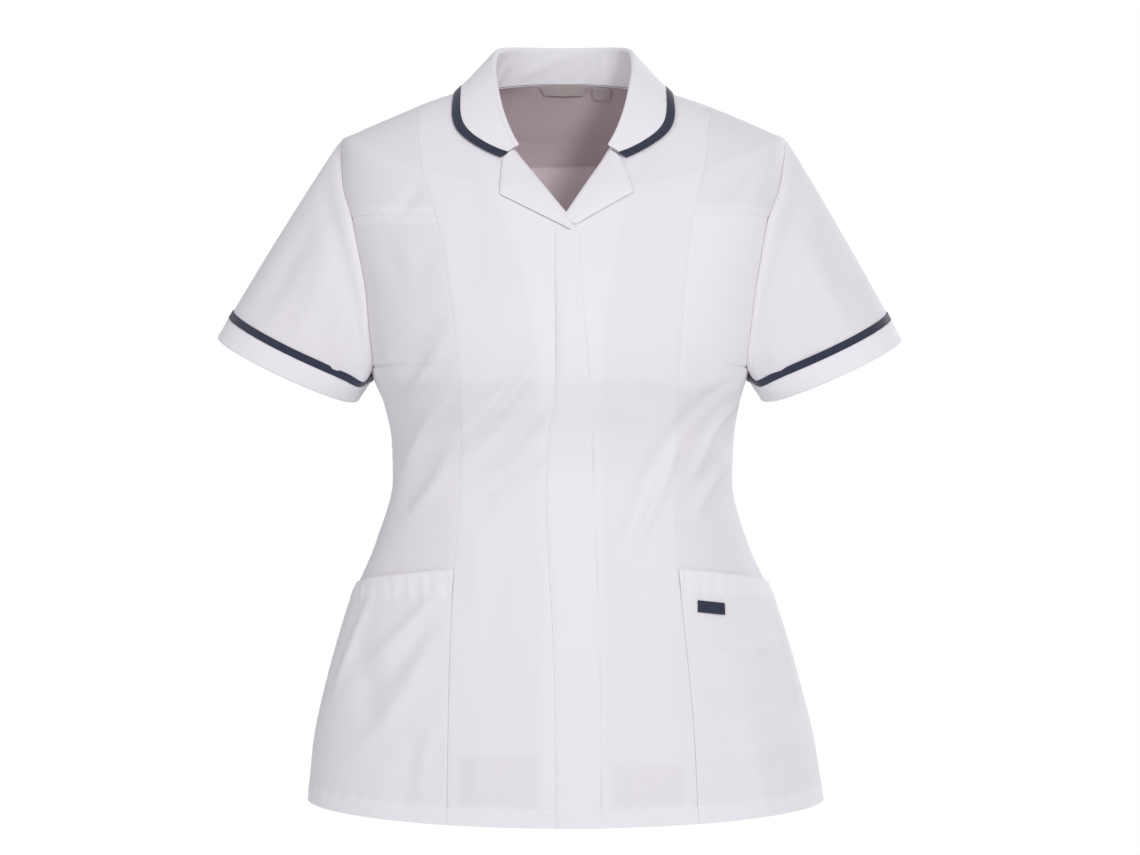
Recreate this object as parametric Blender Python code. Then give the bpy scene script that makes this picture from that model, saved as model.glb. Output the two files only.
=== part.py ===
"""Short-sleeved nurse's tunic with navy trim, hollow as if it were worn.

Sizes are in millimetres and degrees, and add_solid turns millimetres into metres. +X is the wearer's
left, -Y the front and +Z up. The origin lies midway between the points where the shoulder seams meet
the neck, which is where the wearer's shoulders carry the tunic.

The whole body lies on one surface, a stack of rings. An angle runs round a ring, 0 at the centre front,
90 at the wearer's left side and 180 at the centre back. A level names the ring by the height of its
side point, from the hem up over the shoulder line to the neck, where the level is 0.
"""

from functools import lru_cache
from math import asin, copysign, cos, degrees, pi, radians, sin

import bmesh
import bpy
import numpy as np

GARMENT = "nurse_tunic"
MM = 0.001
WALL = 1.3
OVERLAY = 1.0
SEAM = 0.3
HEM_LEVEL = -674
ARMPIT_LEVEL = -268
SHOULDER_LEVEL = -51
VENT_LEVEL = -577
VENT_OPENING = 5.0

WHITE = (0.86, 0.86, 0.89)
NAVY = (0.012, 0.016, 0.045)
BEIGE = (0.62, 0.56, 0.50)

RING_COLUMNS = (
    "level", "half_width", "front", "front_height", "back", "back_height", "roundness", "lean",
)
RINGS = (
    (-674, 242.5, 136, -680.5, 120, -676, 2.10, 3.5),
    (-620, 236, 134, -622, 123, -620, 2.10, 2.0),
    (-560, 222, 127, -560, 122, -560, 2.15, 1.0),
    (-487, 200, 114, -487, 110, -487, 2.20, 0.5),
    (-430, 175, 103, -430, 95, -430, 2.25, 0.0),
    (-373, 160.5, 98, -373, 86, -373, 2.30, 0.5),
    (-335, 161.5, 107, -335, 90, -335, 2.35, 0.5),
    (-300, 167.5, 125, -300, 98, -300, 2.40, -0.5),
    (-276, 176, 136, -276, 105, -276, 2.45, -2.0),
    (-240, 184, 140, -243, 112, -240, 2.50, -2.0),
    (-190, 192, 134, -200, 117, -188, 2.50, -1.5),
    (-134, 203, 119, -154, 115, -128, 2.45, -1.5),
    (-90, 210, 108, -127, 108, -82, 2.40, 0.0),
    (-51, 209.5, 97, -106, 97, -42, 2.35, 1.5),
    (-45, 197, 94.5, -102.5, 93.5, -35.5, 2.33, 1.5),
    (-27, 157, 86, -92, 82, -14, 2.25, 1.5),
    (-14, 124, 79, -84, 73, -1, 2.20, 1.5),
    (0, 80, 70, -75, 62, 12, 2.10, 1.5),
)

# Where each row of points crosses the princess seam and the side seam, as levels.
ROW_COLUMNS = ("princess", "side")
ROWS = (
    (-674, -674), (-657, -657), (-655, -655), (-634, -636), (-611, -617), (-589, -598),
    (-567, -577), (-545, -556), (-521, -534), (-497, -513), (-474, -492), (-452, -472),
    (-430, -448), (-408, -424), (-386, -398), (-364, -373), (-342, -349), (-322, -326),
    (-304, -306), (-286, -288), (-266, -268), (-259, -262.7), (-243, -247.3), (-217, -223.3),
    (-181, -193), (-144, -159.5), (-108, -126), (-84, -95.7), (-65, -71.7), (-53, -56.3),
    (-46, -51), (-40, -44), (-34, -36), (-28, -28.5), (-22.5, -22.5), (-20, -20), (-19.2, -19.2),
    (-15, -15), (-10, -10), (-4, -4), (0, 0),
)
ROW_HEM_STEP = 2
ROW_MOUTH = 11
ROW_BAG_BOTTOM = 19
ROW_ARMPIT = 20
ROW_CHEST = 26
ROW_YOKE = 28
ROW_SHOULDER = 30
ROW_TIP = 35

# Distance of each seam from the centre plane at each level, in the front view.
PRINCESS_RIGHT = (
    (-674, -103), (-529, -101), (-453, -98), (-391, -94), (-339, -92), (-272, -93),
    (-198, -100), (-110, -114), (-25, -134.5), (0, -144),
)
PRINCESS_LEFT = (
    (-674, 123), (-595, 119), (-519, 112.5), (-443, 106), (-375, 104), (-298, 105),
    (-211, 110), (-110, 120), (-25, 137), (0, 154),
)
FLY_STITCHED_EDGE = ((-674, -5), (-560, -6), (-450, -11), (-390, -14), (-335, -12), (-290, -5), (-130, -6))
FLY_FREE_EDGE = ((-674, 35), (-567, 34.5), (-479, 32), (-371, 28.5), (-299, 25.5), (-201, 19), (-123, 15))
CLOSING_INSET = 13
FLY_TOP_LEVELS = (-146, -131)
FLY_LIFT = 1.7
ZIP_LEVELS = (-650, -140)
ZIP_HALF_WIDTH = 14
ZIP_LIFT = -2.0

# Height and distance from the centre plane of the opening's two edges, in the front view.
NECKLINE_RIGHT = ((-132, 4), (-66, -43.5), (-43, -56), (0, -77))
NECKLINE_LEFT = ((-132, 4.5), (-66, 43.5), (-43, 56), (0, 77))

# Distance of the back's two long seams from the middle of the back at each level.
BACK_SEAM = ((-674, 98), (-529, 86), (-430, 68), (-373, 62), (-300, 67), (-190, 84), (-84, 97))

# How far the armhole is cut back from the side, from the armpit at 0 to the shoulder at 1.
ARMHOLE_FRONT = (
    (0, 0), (0.08, 16), (0.24, 20), (0.42, 22), (0.58, 21.5), (0.70, 14.5), (0.82, 7.5), (1, 0),
)
ARMHOLE_BACK = (
    (0, 0), (0.08, 14), (0.24, 18), (0.42, 20), (0.58, 19.5), (0.70, 15), (0.82, 9), (1, 0),
)

# Broad folds of the worn cloth in the view from the front or the back.
FOLD_COLUMNS = ("face", "x_start", "z_start", "x_end", "z_end", "width", "height")
FOLDS = (
    ("front", -118, -240, -160, -345, 15, -3.0),
    ("front", -98, -300, -150, -400, 15, -3.0),
    ("front", -30, -250, -82, -400, 16, -2.5),
    ("front", 120, -255, 160, -350, 15, -2.5),
    ("front", 84, -350, 45, -560, 17, -2.5),
    ("front", -185, -520, -170, -610, 16, -3.0),
    ("front", -120, -600, -145, -674, 16, -3.0),
    ("front", 165, -560, 185, -674, 17, 3.0),
    ("back", -70, -260, -45, -520, 18, 3.5),
    ("back", 70, -250, 48, -500, 18, 3.5),
    ("back", 0, -300, -8, -440, 16, -2.5),
    ("back", -150, -300, -100, -370, 15, -3.0),
    ("back", 152, -290, 105, -375, 15, -3.0),
    ("back", -130, -560, -150, -674, 20, 4.0),
    ("back", 20, -575, 30, -674, 20, 3.5),
    ("back", 140, -570, 158, -674, 20, 4.0),
)

# Ends of each cuff's hem in the front view, outer then inner, as x and z.
CUFF_ENDS = {"right": ((-324.5, -238), (-196, -298)), "left": ((320, -240), (192, -297.5))}
CUFF_HALF_DEPTH = 55
CUFF_FRONT_DIP = 7
CUFF_DEPTH = 23
TAPE_WIDTH = 7.5
SLEEVE_FALL = (0.42, -0.91)
SLEEVE_TOP_BULGE = 3
SLEEVE_SIDE_BULGE = 3
SLEEVE_ROWS = 10
SLEEVE_SEAM_LIFT = 1.8

COLLAR_COLUMNS = (
    "place", "seam_angle", "seam_level", "roll_x", "roll_y", "roll_z", "edge_angle", "edge_level", "fold",
)
COLLAR = (
    (0.00, 180, 0, 0, 60, 46.5, 180, -15, 2.6),
    (0.15, 155, 0, 31, 55, 46, 153, -14, 2.6),
    (0.30, 128, 0, 53, 39, 43, 125, -11, 2.6),
    (0.45, 100, 0, 62.5, 13, 34.5, 97, -6.3, 2.3),
    (0.58, 80, 0, 63.5, -13, 15, 77, -7.5, 2.2),
    (0.70, 65, 0, 60, -38, -8, 62, -11, 2.1),
    (0.82, 52, 0, 53.5, -60, -35, 45, -17, 2.0),
    (0.92, 38, -1, 46.5, -70, -53, 33, -17.5, 2.0),
    (1.00, 28, -5, 40.5, -75, -63, 23.2, -17.5, 2.0),
)
COLLAR_STATIONS = 16
COLLAR_SEAM_LIFT = 1.8
COLLAR_EDGE_LIFT = 2.4
COLLAR_BELLY = 0.04
BINDING_WIDTH = 7.5
COLLAR_SHARES = (0.0, 0.3, 0.6)

# Corners of the turned-back lapels in the front view, as x and z.
LAPELS = {
    "right": {"notch": (-54.5, -79), "tip": (-56, -112), "foot": (14, -148), "gorge": (-45, -69)},
    "left": {"notch": (55, -79), "tip": (65, -110), "foot": (12, -141), "gorge": (45, -69)},
}
LAPEL_APEX = (4.2, -131.5)
LAPEL_LIFT = 2.1
LAPEL_PUFF = 1.4
LAPEL_ROWS = 9
LAPEL_COLUMNS = 4
LAPEL_REACH = 0.97

POCKET_GAPE = 2.5
TAB_CORNERS = ((123, -480.5), (147.5, -484), (147.5, -494.5), (123, -491))
TAB_RISE = ((0.3, 0.5, 0.7), (0.9, 1.5, 1.9))

# The two labels inside the back neck: the x of their ends at the lower and the upper edge, the levels
# of those edges, and how deep they lie.
LOOP_ENDS, LOOP_LEVELS = ((-17.5, 20), (-22, 25)), (-9.5, -1)
TAG_ENDS, TAG_LEVELS = ((30, 47.5), (30, 47.5)), (-12.5, -1)
LABEL_LIFT = -1.75

FRONT_COLUMNS = 6
SIDE_BACK_COLUMNS = 6
CENTRE_BACK_COLUMNS = 10
YOKE_COLUMNS = 22
BAG_COLUMNS = 4
HALVINGS = 40


def curve(points):
    """A smooth function through the points that never overshoots them."""
    xs, ys = np.array(points, float).T
    step = np.diff(xs)
    rise = np.diff(ys) / step
    slope = np.concatenate(([rise[0]], np.zeros(len(xs) - 2), [rise[-1]]))
    for i in range(1, len(xs) - 1):
        if rise[i - 1] * rise[i] > 0:
            slope[i] = 2 * rise[i - 1] * rise[i] / (rise[i - 1] + rise[i])

    def at(x):
        x = min(max(x, xs[0]), xs[-1])
        i = min(int(np.searchsorted(xs, x, side="right")) - 1, len(step) - 1)
        t = (x - xs[i]) / step[i]
        held = ys[i] * (1 + 2 * t) * (1 - t) ** 2 + ys[i + 1] * t * t * (3 - 2 * t)
        return held + step[i] * t * (1 - t) * (slope[i] * (1 - t) - slope[i + 1] * t)

    return at


def columns_of(table, names):
    """A curve for each column of a table against its first column."""
    return {name: curve([(row[0], row[i]) for row in table]) for i, name in enumerate(names)}


PROFILES = columns_of(RINGS, RING_COLUMNS)
PRINCESS = {"right": curve(PRINCESS_RIGHT), "left": curve(PRINCESS_LEFT)}
NECKLINE = {"right": curve(NECKLINE_RIGHT), "left": curve(NECKLINE_LEFT)}
FLY_LINE = curve(sorted(FLY_STITCHED_EDGE))
FLY_EDGE = curve(sorted(FLY_FREE_EDGE))
BACK_LINE = curve(BACK_SEAM)
CUT_FRONT = curve(ARMHOLE_FRONT)
CUT_BACK = curve(ARMHOLE_BACK)
SIGN = {"right": -1, "left": 1}


@lru_cache(maxsize=None)
def ring(level):
    return {name: profile(level) for name, profile in PROFILES.items()}


@lru_cache(maxsize=None)
def smooth_body(angle, level):
    """Point of the body's surface before the folds."""
    r = ring(level)
    s, c = sin(radians(angle)), cos(radians(angle))
    power = 2 / r["roundness"]
    side = "front" if c >= 0 else "back"
    x = r["lean"] + r["half_width"] * copysign(abs(s) ** power, s)
    y = copysign(r[side] * abs(c) ** power, -c)
    z = level + (r[side + "_height"] - level) * c * c
    return np.array([x, y, z])


@lru_cache(maxsize=None)
def outward(angle, level):
    """Unit normal of the smooth surface, out of the garment."""
    round_it = smooth_body(angle + 0.6, level) - smooth_body(angle - 0.6, level)
    up_it = smooth_body(angle, min(level + 1.5, 0)) - smooth_body(angle, max(level - 1.5, HEM_LEVEL))
    normal = np.cross(round_it, up_it)
    return normal / np.linalg.norm(normal)


def fold_height(point, face):
    """How far the folds lift the cloth at a point."""
    total = 0.0
    for fold in (dict(zip(FOLD_COLUMNS, row)) for row in FOLDS):
        if fold["face"] != face:
            continue
        start = np.array([fold["x_start"], fold["z_start"]], float)
        along = np.array([fold["x_end"], fold["z_end"]]) - start
        away = np.array([point[0], point[2]]) - start
        place = float(away @ along / (along @ along))
        near = away - along * min(max(place, 0), 1)
        total += fold["height"] * np.exp(-float(near @ near) / fold["width"] ** 2)
    return total


@lru_cache(maxsize=None)
def body(angle, level, lift=0.0):
    """Point of the body's middle surface, moved outwards by lift."""
    point = smooth_body(angle, level)
    face = "front" if cos(radians(angle)) >= 0 else "back"
    side_fade = min(1.0, abs(cos(radians(angle))) * 4)
    return point + outward(angle, level) * (lift + fold_height(point, face) * side_fade)


def angle_at(x, level):
    """Angle of the point of a ring's front at distance x from the centre plane."""
    r = ring(level)
    share = min(max((x - r["lean"]) / r["half_width"], -1), 1)
    return copysign(degrees(asin(abs(share) ** (r["roundness"] / 2))), share)


def place_at(x, z):
    """Angle and level of the front surface's point at x and z in the front view."""
    low, high = HEM_LEVEL, 0.0
    for _ in range(HALVINGS):
        level = (low + high) / 2
        if smooth_body(angle_at(x, level), level)[2] < z:
            low = level
        else:
            high = level
    return angle_at(x, level), level


def stepped(angle, level, distance):
    """The angle that lies a distance further round the ring."""
    there = np.linalg.norm(smooth_body(angle + 0.5, level) - smooth_body(angle - 0.5, level))
    return angle + distance / there


def armhole_level(share):
    return ARMPIT_LEVEL + (SHOULDER_LEVEL - ARMPIT_LEVEL) * (1 - cos(pi * share)) / 2


def armhole_share(level):
    """Place on the armhole, 0 at the armpit and 1 at the shoulder."""
    rise = (level - ARMPIT_LEVEL) / (SHOULDER_LEVEL - ARMPIT_LEVEL)
    return degrees(np.arccos(1 - 2 * min(max(rise, 0), 1))) / 180


def vent_gap(level):
    """Half of the side vent's width at a level."""
    return VENT_OPENING / 2 * max(0.0, (VENT_LEVEL - level) / (VENT_LEVEL - HEM_LEVEL))


def side_edge(side, level, panel):
    """Angle of a panel's edge along the side seam, armhole or shoulder seam."""
    towards = -1 if panel == "front" else 1
    cut = CUT_FRONT if panel == "front" else CUT_BACK
    angle = 90.0
    if ARMPIT_LEVEL < level < SHOULDER_LEVEL:
        angle += towards * cut(armhole_share(level))
    angle = stepped(angle, level, towards * (SEAM / 2 + vent_gap(level)))
    return SIGN[side] * angle


def princess_edge(side, level, towards):
    """Angle of a panel's edge along the princess seam; towards is 1 for the outer panel."""
    angle = min(SIGN[side] * angle_at(PRINCESS[side](level), level), 90.0)
    return SIGN[side] * stepped(angle, level, towards * SEAM / 2)


def centre_edge(side, level):
    """Angle of a front's edge along the closing line and up the neckline."""
    closing = FLY_LINE(level) + CLOSING_INSET + SIGN[side] * SEAM / 2
    inner = angle_at(closing, level)
    if smooth_body(0, level)[2] < LAPEL_APEX[1]:
        return inner
    low, high = 0.0, 90.0
    for _ in range(HALVINGS):
        middle = (low + high) / 2
        point = smooth_body(SIGN[side] * middle, level)
        if SIGN[side] * (point[0] - NECKLINE[side](point[2])) < 0:
            low = middle
        else:
            high = middle
    return SIGN[side] * high


def grid_between(rows, first_edge, last_edge, columns):
    """Rows of angles and levels between two edges; a row is a pair of levels."""
    grid = []
    for first_level, last_level in rows:
        first, last = first_edge(first_level), last_edge(last_level)
        turn, rise = last - first, last_level - first_level
        shares = [i / columns for i in range(columns + 1)]
        grid.append([(first + turn * f, first_level + rise * f) for f in shares])
    return grid


def lifted(grid, lift):
    """Points over a grid of angles and levels; lift is a number or a function of row and column."""
    height = lift if callable(lift) else lambda row, column: lift
    return [[body(a, l, height(j, i)) for i, (a, l) in enumerate(row)] for j, row in enumerate(grid)]


def collection(name):
    found = bpy.data.collections.new(name)
    bpy.context.scene.collection.children.link(found)
    return found


def cloth_material(name, colour, roughness):
    material = bpy.data.materials.new(name)
    material.use_nodes = True
    shader = material.node_tree.nodes["Principled BSDF"]
    shader.inputs["Base Color"].default_value = (*colour, 1)
    shader.inputs["Roughness"].default_value = roughness
    shader.inputs["Metallic"].default_value = 0
    return material


def add_solid(name, outer, inner, material, closed=False):
    """One closed wall between two grids of points, in rows; closed joins each row's ends."""
    mesh = bmesh.new()
    rows, columns = len(outer), len(outer[0])
    sheets = [[[mesh.verts.new(p * MM) for p in row] for row in sheet] for sheet in (outer, inner)]
    across = range(columns if closed else columns - 1)

    def quad(a, b, c, d):
        mesh.faces.new((a, b, c, d))

    for j in range(rows - 1):
        for i in across:
            k = (i + 1) % columns
            for sheet in sheets:
                quad(sheet[j][i], sheet[j][k], sheet[j + 1][k], sheet[j + 1][i])
    for j in (0, rows - 1):
        for i in across:
            k = (i + 1) % columns
            quad(sheets[0][j][i], sheets[0][j][k], sheets[1][j][k], sheets[1][j][i])
    if not closed:
        for i in (0, columns - 1):
            for j in range(rows - 1):
                quad(sheets[0][j][i], sheets[0][j + 1][i], sheets[1][j + 1][i], sheets[1][j][i])
    bmesh.ops.recalc_face_normals(mesh, faces=mesh.faces)
    data = bpy.data.meshes.new(name)
    mesh.to_mesh(data)
    mesh.free()
    data.materials.append(material)
    data.shade_smooth()
    data.set_sharp_from_angle(angle=radians(50))
    solid = bpy.data.objects.new(name, data)
    GARMENT_COLLECTION.objects.link(solid)
    return solid


def add_panel(name, grid, material, lift=0.0, thickness=WALL, hem=False):
    """A cut panel; hem doubles its lowest rows with the turned-up edge."""
    base = lift if callable(lift) else lambda row, column: lift

    def inner_lift(row, column):
        doubled = WALL if hem and row < ROW_HEM_STEP else 0
        return base(row, column) - thickness / 2 - doubled

    def outer_lift(row, column):
        return base(row, column) + thickness / 2

    return add_solid(name, lifted(grid, outer_lift), lifted(grid, inner_lift), material)


def rows_of(first, last, columns=("princess", "side")):
    """Pairs of levels for a run of rows, read from the named columns."""
    picked = [ROW_COLUMNS.index(name) for name in columns]
    return [tuple(row[i] for i in picked) for row in ROWS[first : last + 1]]


def centre_fronts(material):
    """The two middle front panels, from the closing line to the princess seam and the shoulder."""
    for side in ("right", "left"):
        rows = rows_of(0, len(ROWS) - 1, ("princess", "princess"))
        grid = grid_between(
            rows,
            lambda level: centre_edge(side, level),
            lambda level: princess_edge(side, level, -1),
            FRONT_COLUMNS,
        )
        add_panel(f"centre_front_{side}", grid, material, hem=True)


def side_fronts(material):
    """The two side front panels, each cut across at chest height."""
    for side in ("right", "left"):
        def inner(level):
            return princess_edge(side, level, 1)

        def outer(level):
            return side_edge(side, level, "front")

        grid = grid_between(rows_of(0, ROW_CHEST), inner, outer, FRONT_COLUMNS)
        add_panel(f"side_front_{side}", grid, material, hem=True)
        upper_rows = rows_of(ROW_CHEST, ROW_TIP)
        upper_rows[0] = tuple(level + SEAM for level in upper_rows[0])
        upper = grid_between(upper_rows, inner, outer, FRONT_COLUMNS)
        add_panel(f"shoulder_front_{side}", upper, material)


def back_edge(side, level, towards):
    """Angle of a panel's edge along a long seam of the back; towards is 1 for the outer panel."""
    angle = 180 - angle_at(BACK_LINE(level), level)
    return SIGN[side] * stepped(angle, level, -towards * SEAM / 2)


def back_panels(material):
    """The centre back and the two side backs, under the yoke over both shoulders."""
    rows = rows_of(0, ROW_YOKE, ("side", "side"))
    centre = grid_between(
        rows,
        lambda level: back_edge("left", level, -1),
        lambda level: 360 + back_edge("right", level, -1),
        CENTRE_BACK_COLUMNS,
    )
    add_panel("centre_back", centre, material, hem=True)
    for side in ("right", "left"):
        side_back = grid_between(
            rows,
            lambda level: side_edge(side, level, "back"),
            lambda level: back_edge(side, level, 1),
            SIDE_BACK_COLUMNS,
        )
        add_panel(f"side_back_{side}", side_back, material, hem=True)
    yoke_rows = rows_of(ROW_YOKE, len(ROWS) - 1, ("side", "side"))
    yoke_rows[0] = tuple(level + SEAM for level in yoke_rows[0])
    yoke = grid_between(
        yoke_rows,
        lambda level: side_edge("left", level, "back"),
        lambda level: 360 + side_edge("right", level, "back"),
        YOKE_COLUMNS,
    )
    add_panel("back_yoke", yoke, material)


def pocket_lift(row, column):
    """The lower pocket lies on the side front and gapes a little at its mouth."""
    near_mouth = max(0.0, 1 - (ROW_MOUTH - row) / 3)
    gape = POCKET_GAPE * near_mouth**2 * sin(pi * column / FRONT_COLUMNS)
    return (WALL + OVERLAY) / 2 + SEAM + gape


def lower_pockets(material):
    """The lower side fronts are doubled by a pocket from the mouth to the hem."""
    for side in ("right", "left"):
        grid = grid_between(
            rows_of(0, ROW_MOUTH),
            lambda level: princess_edge(side, level, 1),
            lambda level: side_edge(side, level, "front"),
            FRONT_COLUMNS,
        )
        add_panel(f"lower_pocket_{side}", grid, material, pocket_lift, OVERLAY)


def chest_pocket(material):
    """Bag of the chest pocket, behind the left side front; its mouth is the seam across the chest."""
    grid = grid_between(
        rows_of(ROW_BAG_BOTTOM, ROW_CHEST - 1),
        lambda level: princess_edge("left", level, 1),
        lambda level: side_edge("left", level, "front"),
        FRONT_COLUMNS,
    )
    grid = [row[: BAG_COLUMNS + 1] for row in grid]
    add_panel("chest_pocket_bag", grid, material, -(WALL + OVERLAY) / 2 - SEAM, OVERLAY)


def fly_and_zip(white):
    """The fly covers the closing line in front; the closed zip lies behind it."""
    levels = [row[0] for row in ROWS if row[0] < FLY_TOP_LEVELS[0]] + list(FLY_TOP_LEVELS)
    rows = [(level, level) for level in levels]
    grid = grid_between(
        rows,
        lambda level: angle_at(FLY_LINE(level), level),
        lambda level: angle_at(FLY_EDGE(level), level),
        3,
    )
    add_panel("fly", grid, white, FLY_LIFT, OVERLAY)
    zip_rows = [(level, level) for level in levels if ZIP_LEVELS[0] < level < ZIP_LEVELS[1]]
    zip_grid = grid_between(
        zip_rows,
        lambda level: angle_at(FLY_LINE(level) + CLOSING_INSET - ZIP_HALF_WIDTH, level),
        lambda level: angle_at(FLY_LINE(level) + CLOSING_INSET + ZIP_HALF_WIDTH, level),
        2,
    )
    add_panel("zip", zip_grid, white, ZIP_LIFT, OVERLAY)


def armhole_ring(side):
    """Angles and levels round an armhole, from the shoulder down the front and up the back."""
    levels = [row[1] for row in ROWS[ROW_ARMPIT : ROW_SHOULDER + 1]]
    front = [(90 - CUT_FRONT(armhole_share(level)), level) for level in reversed(levels)]
    back = [(90 + CUT_BACK(armhole_share(level)), level) for level in levels[1:-1]]
    return [(SIGN[side] * angle, level) for angle, level in front + back]


def sleeve_lines(side):
    """Each lengthwise line of a sleeve: its start at the armhole, its end at the hem, its bulge."""
    starts = [body(angle, level, SLEEVE_SEAM_LIFT) for angle, level in armhole_ring(side)]
    outer, inner = (np.array([x, 0, z], float) for x, z in CUFF_ENDS[side])
    centre, half_chord = (outer + inner) / 2, (outer - inner) / 2
    down = np.array([SIGN[side] * SLEEVE_FALL[0], 0, SLEEVE_FALL[1]])
    front = np.array([0, -CUFF_HALF_DEPTH, 0]) + down * CUFF_FRONT_DIP
    count = len(starts)
    bottom = ROW_SHOULDER - ROW_ARMPIT
    lengths = [np.linalg.norm(starts[(k + 1) % count] - starts[k]) for k in range(count)]
    front_length, back_length = sum(lengths[:bottom]), sum(lengths[bottom:])
    lines, travelled = [], 0.0
    for k, start in enumerate(starts):
        turn = 180 * travelled / front_length
        if k >= bottom:
            turn = 180 + 180 * (travelled - front_length) / back_length
        around = half_chord * cos(radians(turn)) + front * sin(radians(turn))
        away = around / np.linalg.norm(around)
        top, flank = (1 + cos(radians(turn))) / 4, abs(sin(radians(turn)))
        bulge = SLEEVE_TOP_BULGE * top + SLEEVE_SIDE_BULGE * flank
        lines.append((start, centre + around, away * bulge))
        travelled += lengths[k]
    return lines


def sleeve_points(side, low_clearance, high_clearance, rows):
    """Rows of points round a sleeve between two distances from its hem; None means the armhole."""
    lines = sleeve_lines(side)
    grid = []
    for j in range(rows + 1):
        row = []
        for start, end, bulge in lines:
            length = np.linalg.norm(end - start)
            first = 0.0 if high_clearance is None else 1 - high_clearance / length
            last = 1 - low_clearance / length
            share = first + (last - first) * j / rows
            row.append(start + (end - start) * share + bulge * 4 * share * (1 - share))
        grid.append(row)
    return grid


def tube(points, lift):
    """The closed rows of a sleeve moved along their normals."""
    grid = np.array(points)
    round_it = np.roll(grid, -1, axis=1) - np.roll(grid, 1, axis=1)
    along = np.gradient(grid, axis=0)
    normal = np.cross(round_it, along)
    normal /= np.linalg.norm(normal, axis=2, keepdims=True)
    centre = grid.mean(axis=1, keepdims=True)
    if ((grid - centre) * normal).sum() < 0:
        normal = -normal
    return grid + normal * lift


def add_tube(name, points, material, lift=0.0, thickness=WALL):
    outer, inner = tube(points, lift + thickness / 2), tube(points, lift - thickness / 2)
    return add_solid(name, list(outer), list(inner), material, closed=True)


def sleeves(white, navy):
    """Set-in short sleeves, each with a navy tape over the seam of its turned cuff."""
    for side in ("right", "left"):
        seam = CUFF_DEPTH
        add_tube(f"sleeve_{side}", sleeve_points(side, seam + SEAM / 2, None, SLEEVE_ROWS), white)
        add_tube(f"cuff_{side}", sleeve_points(side, 0, seam - SEAM / 2, 2), white)
        tape = sleeve_points(side, seam - 1, seam - 1 + TAPE_WIDTH, 1)
        add_tube(f"sleeve_tape_{side}", tape, navy, (WALL + OVERLAY) / 2 + 2 * SEAM, OVERLAY)


def collar_section(place, side):
    """Points across the collar from the neck seam over the roll to the outer edge."""
    row = {name: column(place) for name, column in COLLAR_CURVES.items()}
    sign = SIGN[side]
    seam = body(sign * row["seam_angle"], row["seam_level"], COLLAR_SEAM_LIFT)
    edge = body(sign * row["edge_angle"], row["edge_level"], COLLAR_EDGE_LIFT)
    roll = np.array([sign * row["roll_x"] + ring(0)["lean"], row["roll_y"], row["roll_z"]])
    rise = (roll - seam) / np.linalg.norm(roll - seam)
    across = edge - seam
    across -= rise * float(across @ rise)
    across /= np.linalg.norm(across)
    fold = row["fold"]
    top = roll - rise * fold
    section = [seam, seam + (top - seam) * 0.5, top]
    centre = top + across * fold
    for turn in (pi / 4, pi / 2, 3 * pi / 4):
        section.append(centre - across * fold * cos(turn) + rise * fold * sin(turn))
    start = top + across * 2 * fold
    reach = np.linalg.norm(edge - start)
    belly = np.cross(np.cross(edge - start, across), edge - start)
    belly /= np.linalg.norm(belly)
    for share in (*COLLAR_SHARES, 1 - BINDING_WIDTH / reach, 1.0):
        section.append(start + (edge - start) * share + belly * reach * COLLAR_BELLY * share * (1 - share))
    return section


COLLAR_CURVES = columns_of(COLLAR, COLLAR_COLUMNS)


def collar(white, navy):
    """One folded collar round the neck from notch to notch, and the navy binding on its edge."""
    places = [k / COLLAR_STATIONS for k in range(COLLAR_STATIONS, 0, -1)]
    sections = [collar_section(place, "right") for place in places]
    sections += [collar_section(place, "left") for place in [0.0] + places[::-1]]
    grid = np.array(sections)
    normal = np.cross(np.gradient(grid, axis=0), np.gradient(grid, axis=1))
    normal /= np.linalg.norm(normal, axis=2, keepdims=True)
    if normal[COLLAR_STATIONS, -1, 1] < 0:
        normal = -normal
    add_solid("collar", list(grid + normal * WALL / 2), list(grid - normal * WALL / 2), white)
    edge, edge_normal = grid[:, -2:], normal[:, -2:]
    low = WALL / 2 + SEAM
    add_solid(
        "collar_binding", list(edge + edge_normal * (low + OVERLAY)), list(edge + edge_normal * low), navy
    )


def along_corners(corners, share):
    """Point at a share of the way along a run of corners, by length."""
    corners = np.array(corners, float)
    lengths = np.linalg.norm(np.diff(corners, axis=0), axis=1)
    travelled = share * lengths.sum()
    for start, end, length in zip(corners, corners[1:], lengths):
        if travelled <= length:
            return start + (end - start) * travelled / length
        travelled -= length
    return corners[-1]


def lapels(material):
    """The turned-back tops of the fronts, from the collar's notch to the foot of the opening."""
    rows, columns = LAPEL_ROWS, LAPEL_COLUMNS
    for side in ("right", "left"):
        corner = LAPELS[side]
        outer, inner = [], []
        for j in range(rows + 1):
            share = LAPEL_REACH * j / rows
            roll = along_corners((corner["gorge"], LAPEL_APEX, corner["foot"]), share)
            edge = along_corners((corner["notch"], corner["tip"], corner["foot"]), share)
            places = [place_at(*(roll + (edge - roll) * i / columns)) for i in range(columns + 1)]
            lifts = [LAPEL_LIFT + LAPEL_PUFF * sin(pi * i / columns) for i in range(columns + 1)]
            outer.append([body(a, l, lift + WALL / 2) for (a, l), lift in zip(places, lifts)])
            inner.append([body(a, l, lift - WALL / 2) for (a, l), lift in zip(places, lifts)])
        add_solid(f"lapel_{side}", outer, inner, material)


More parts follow.
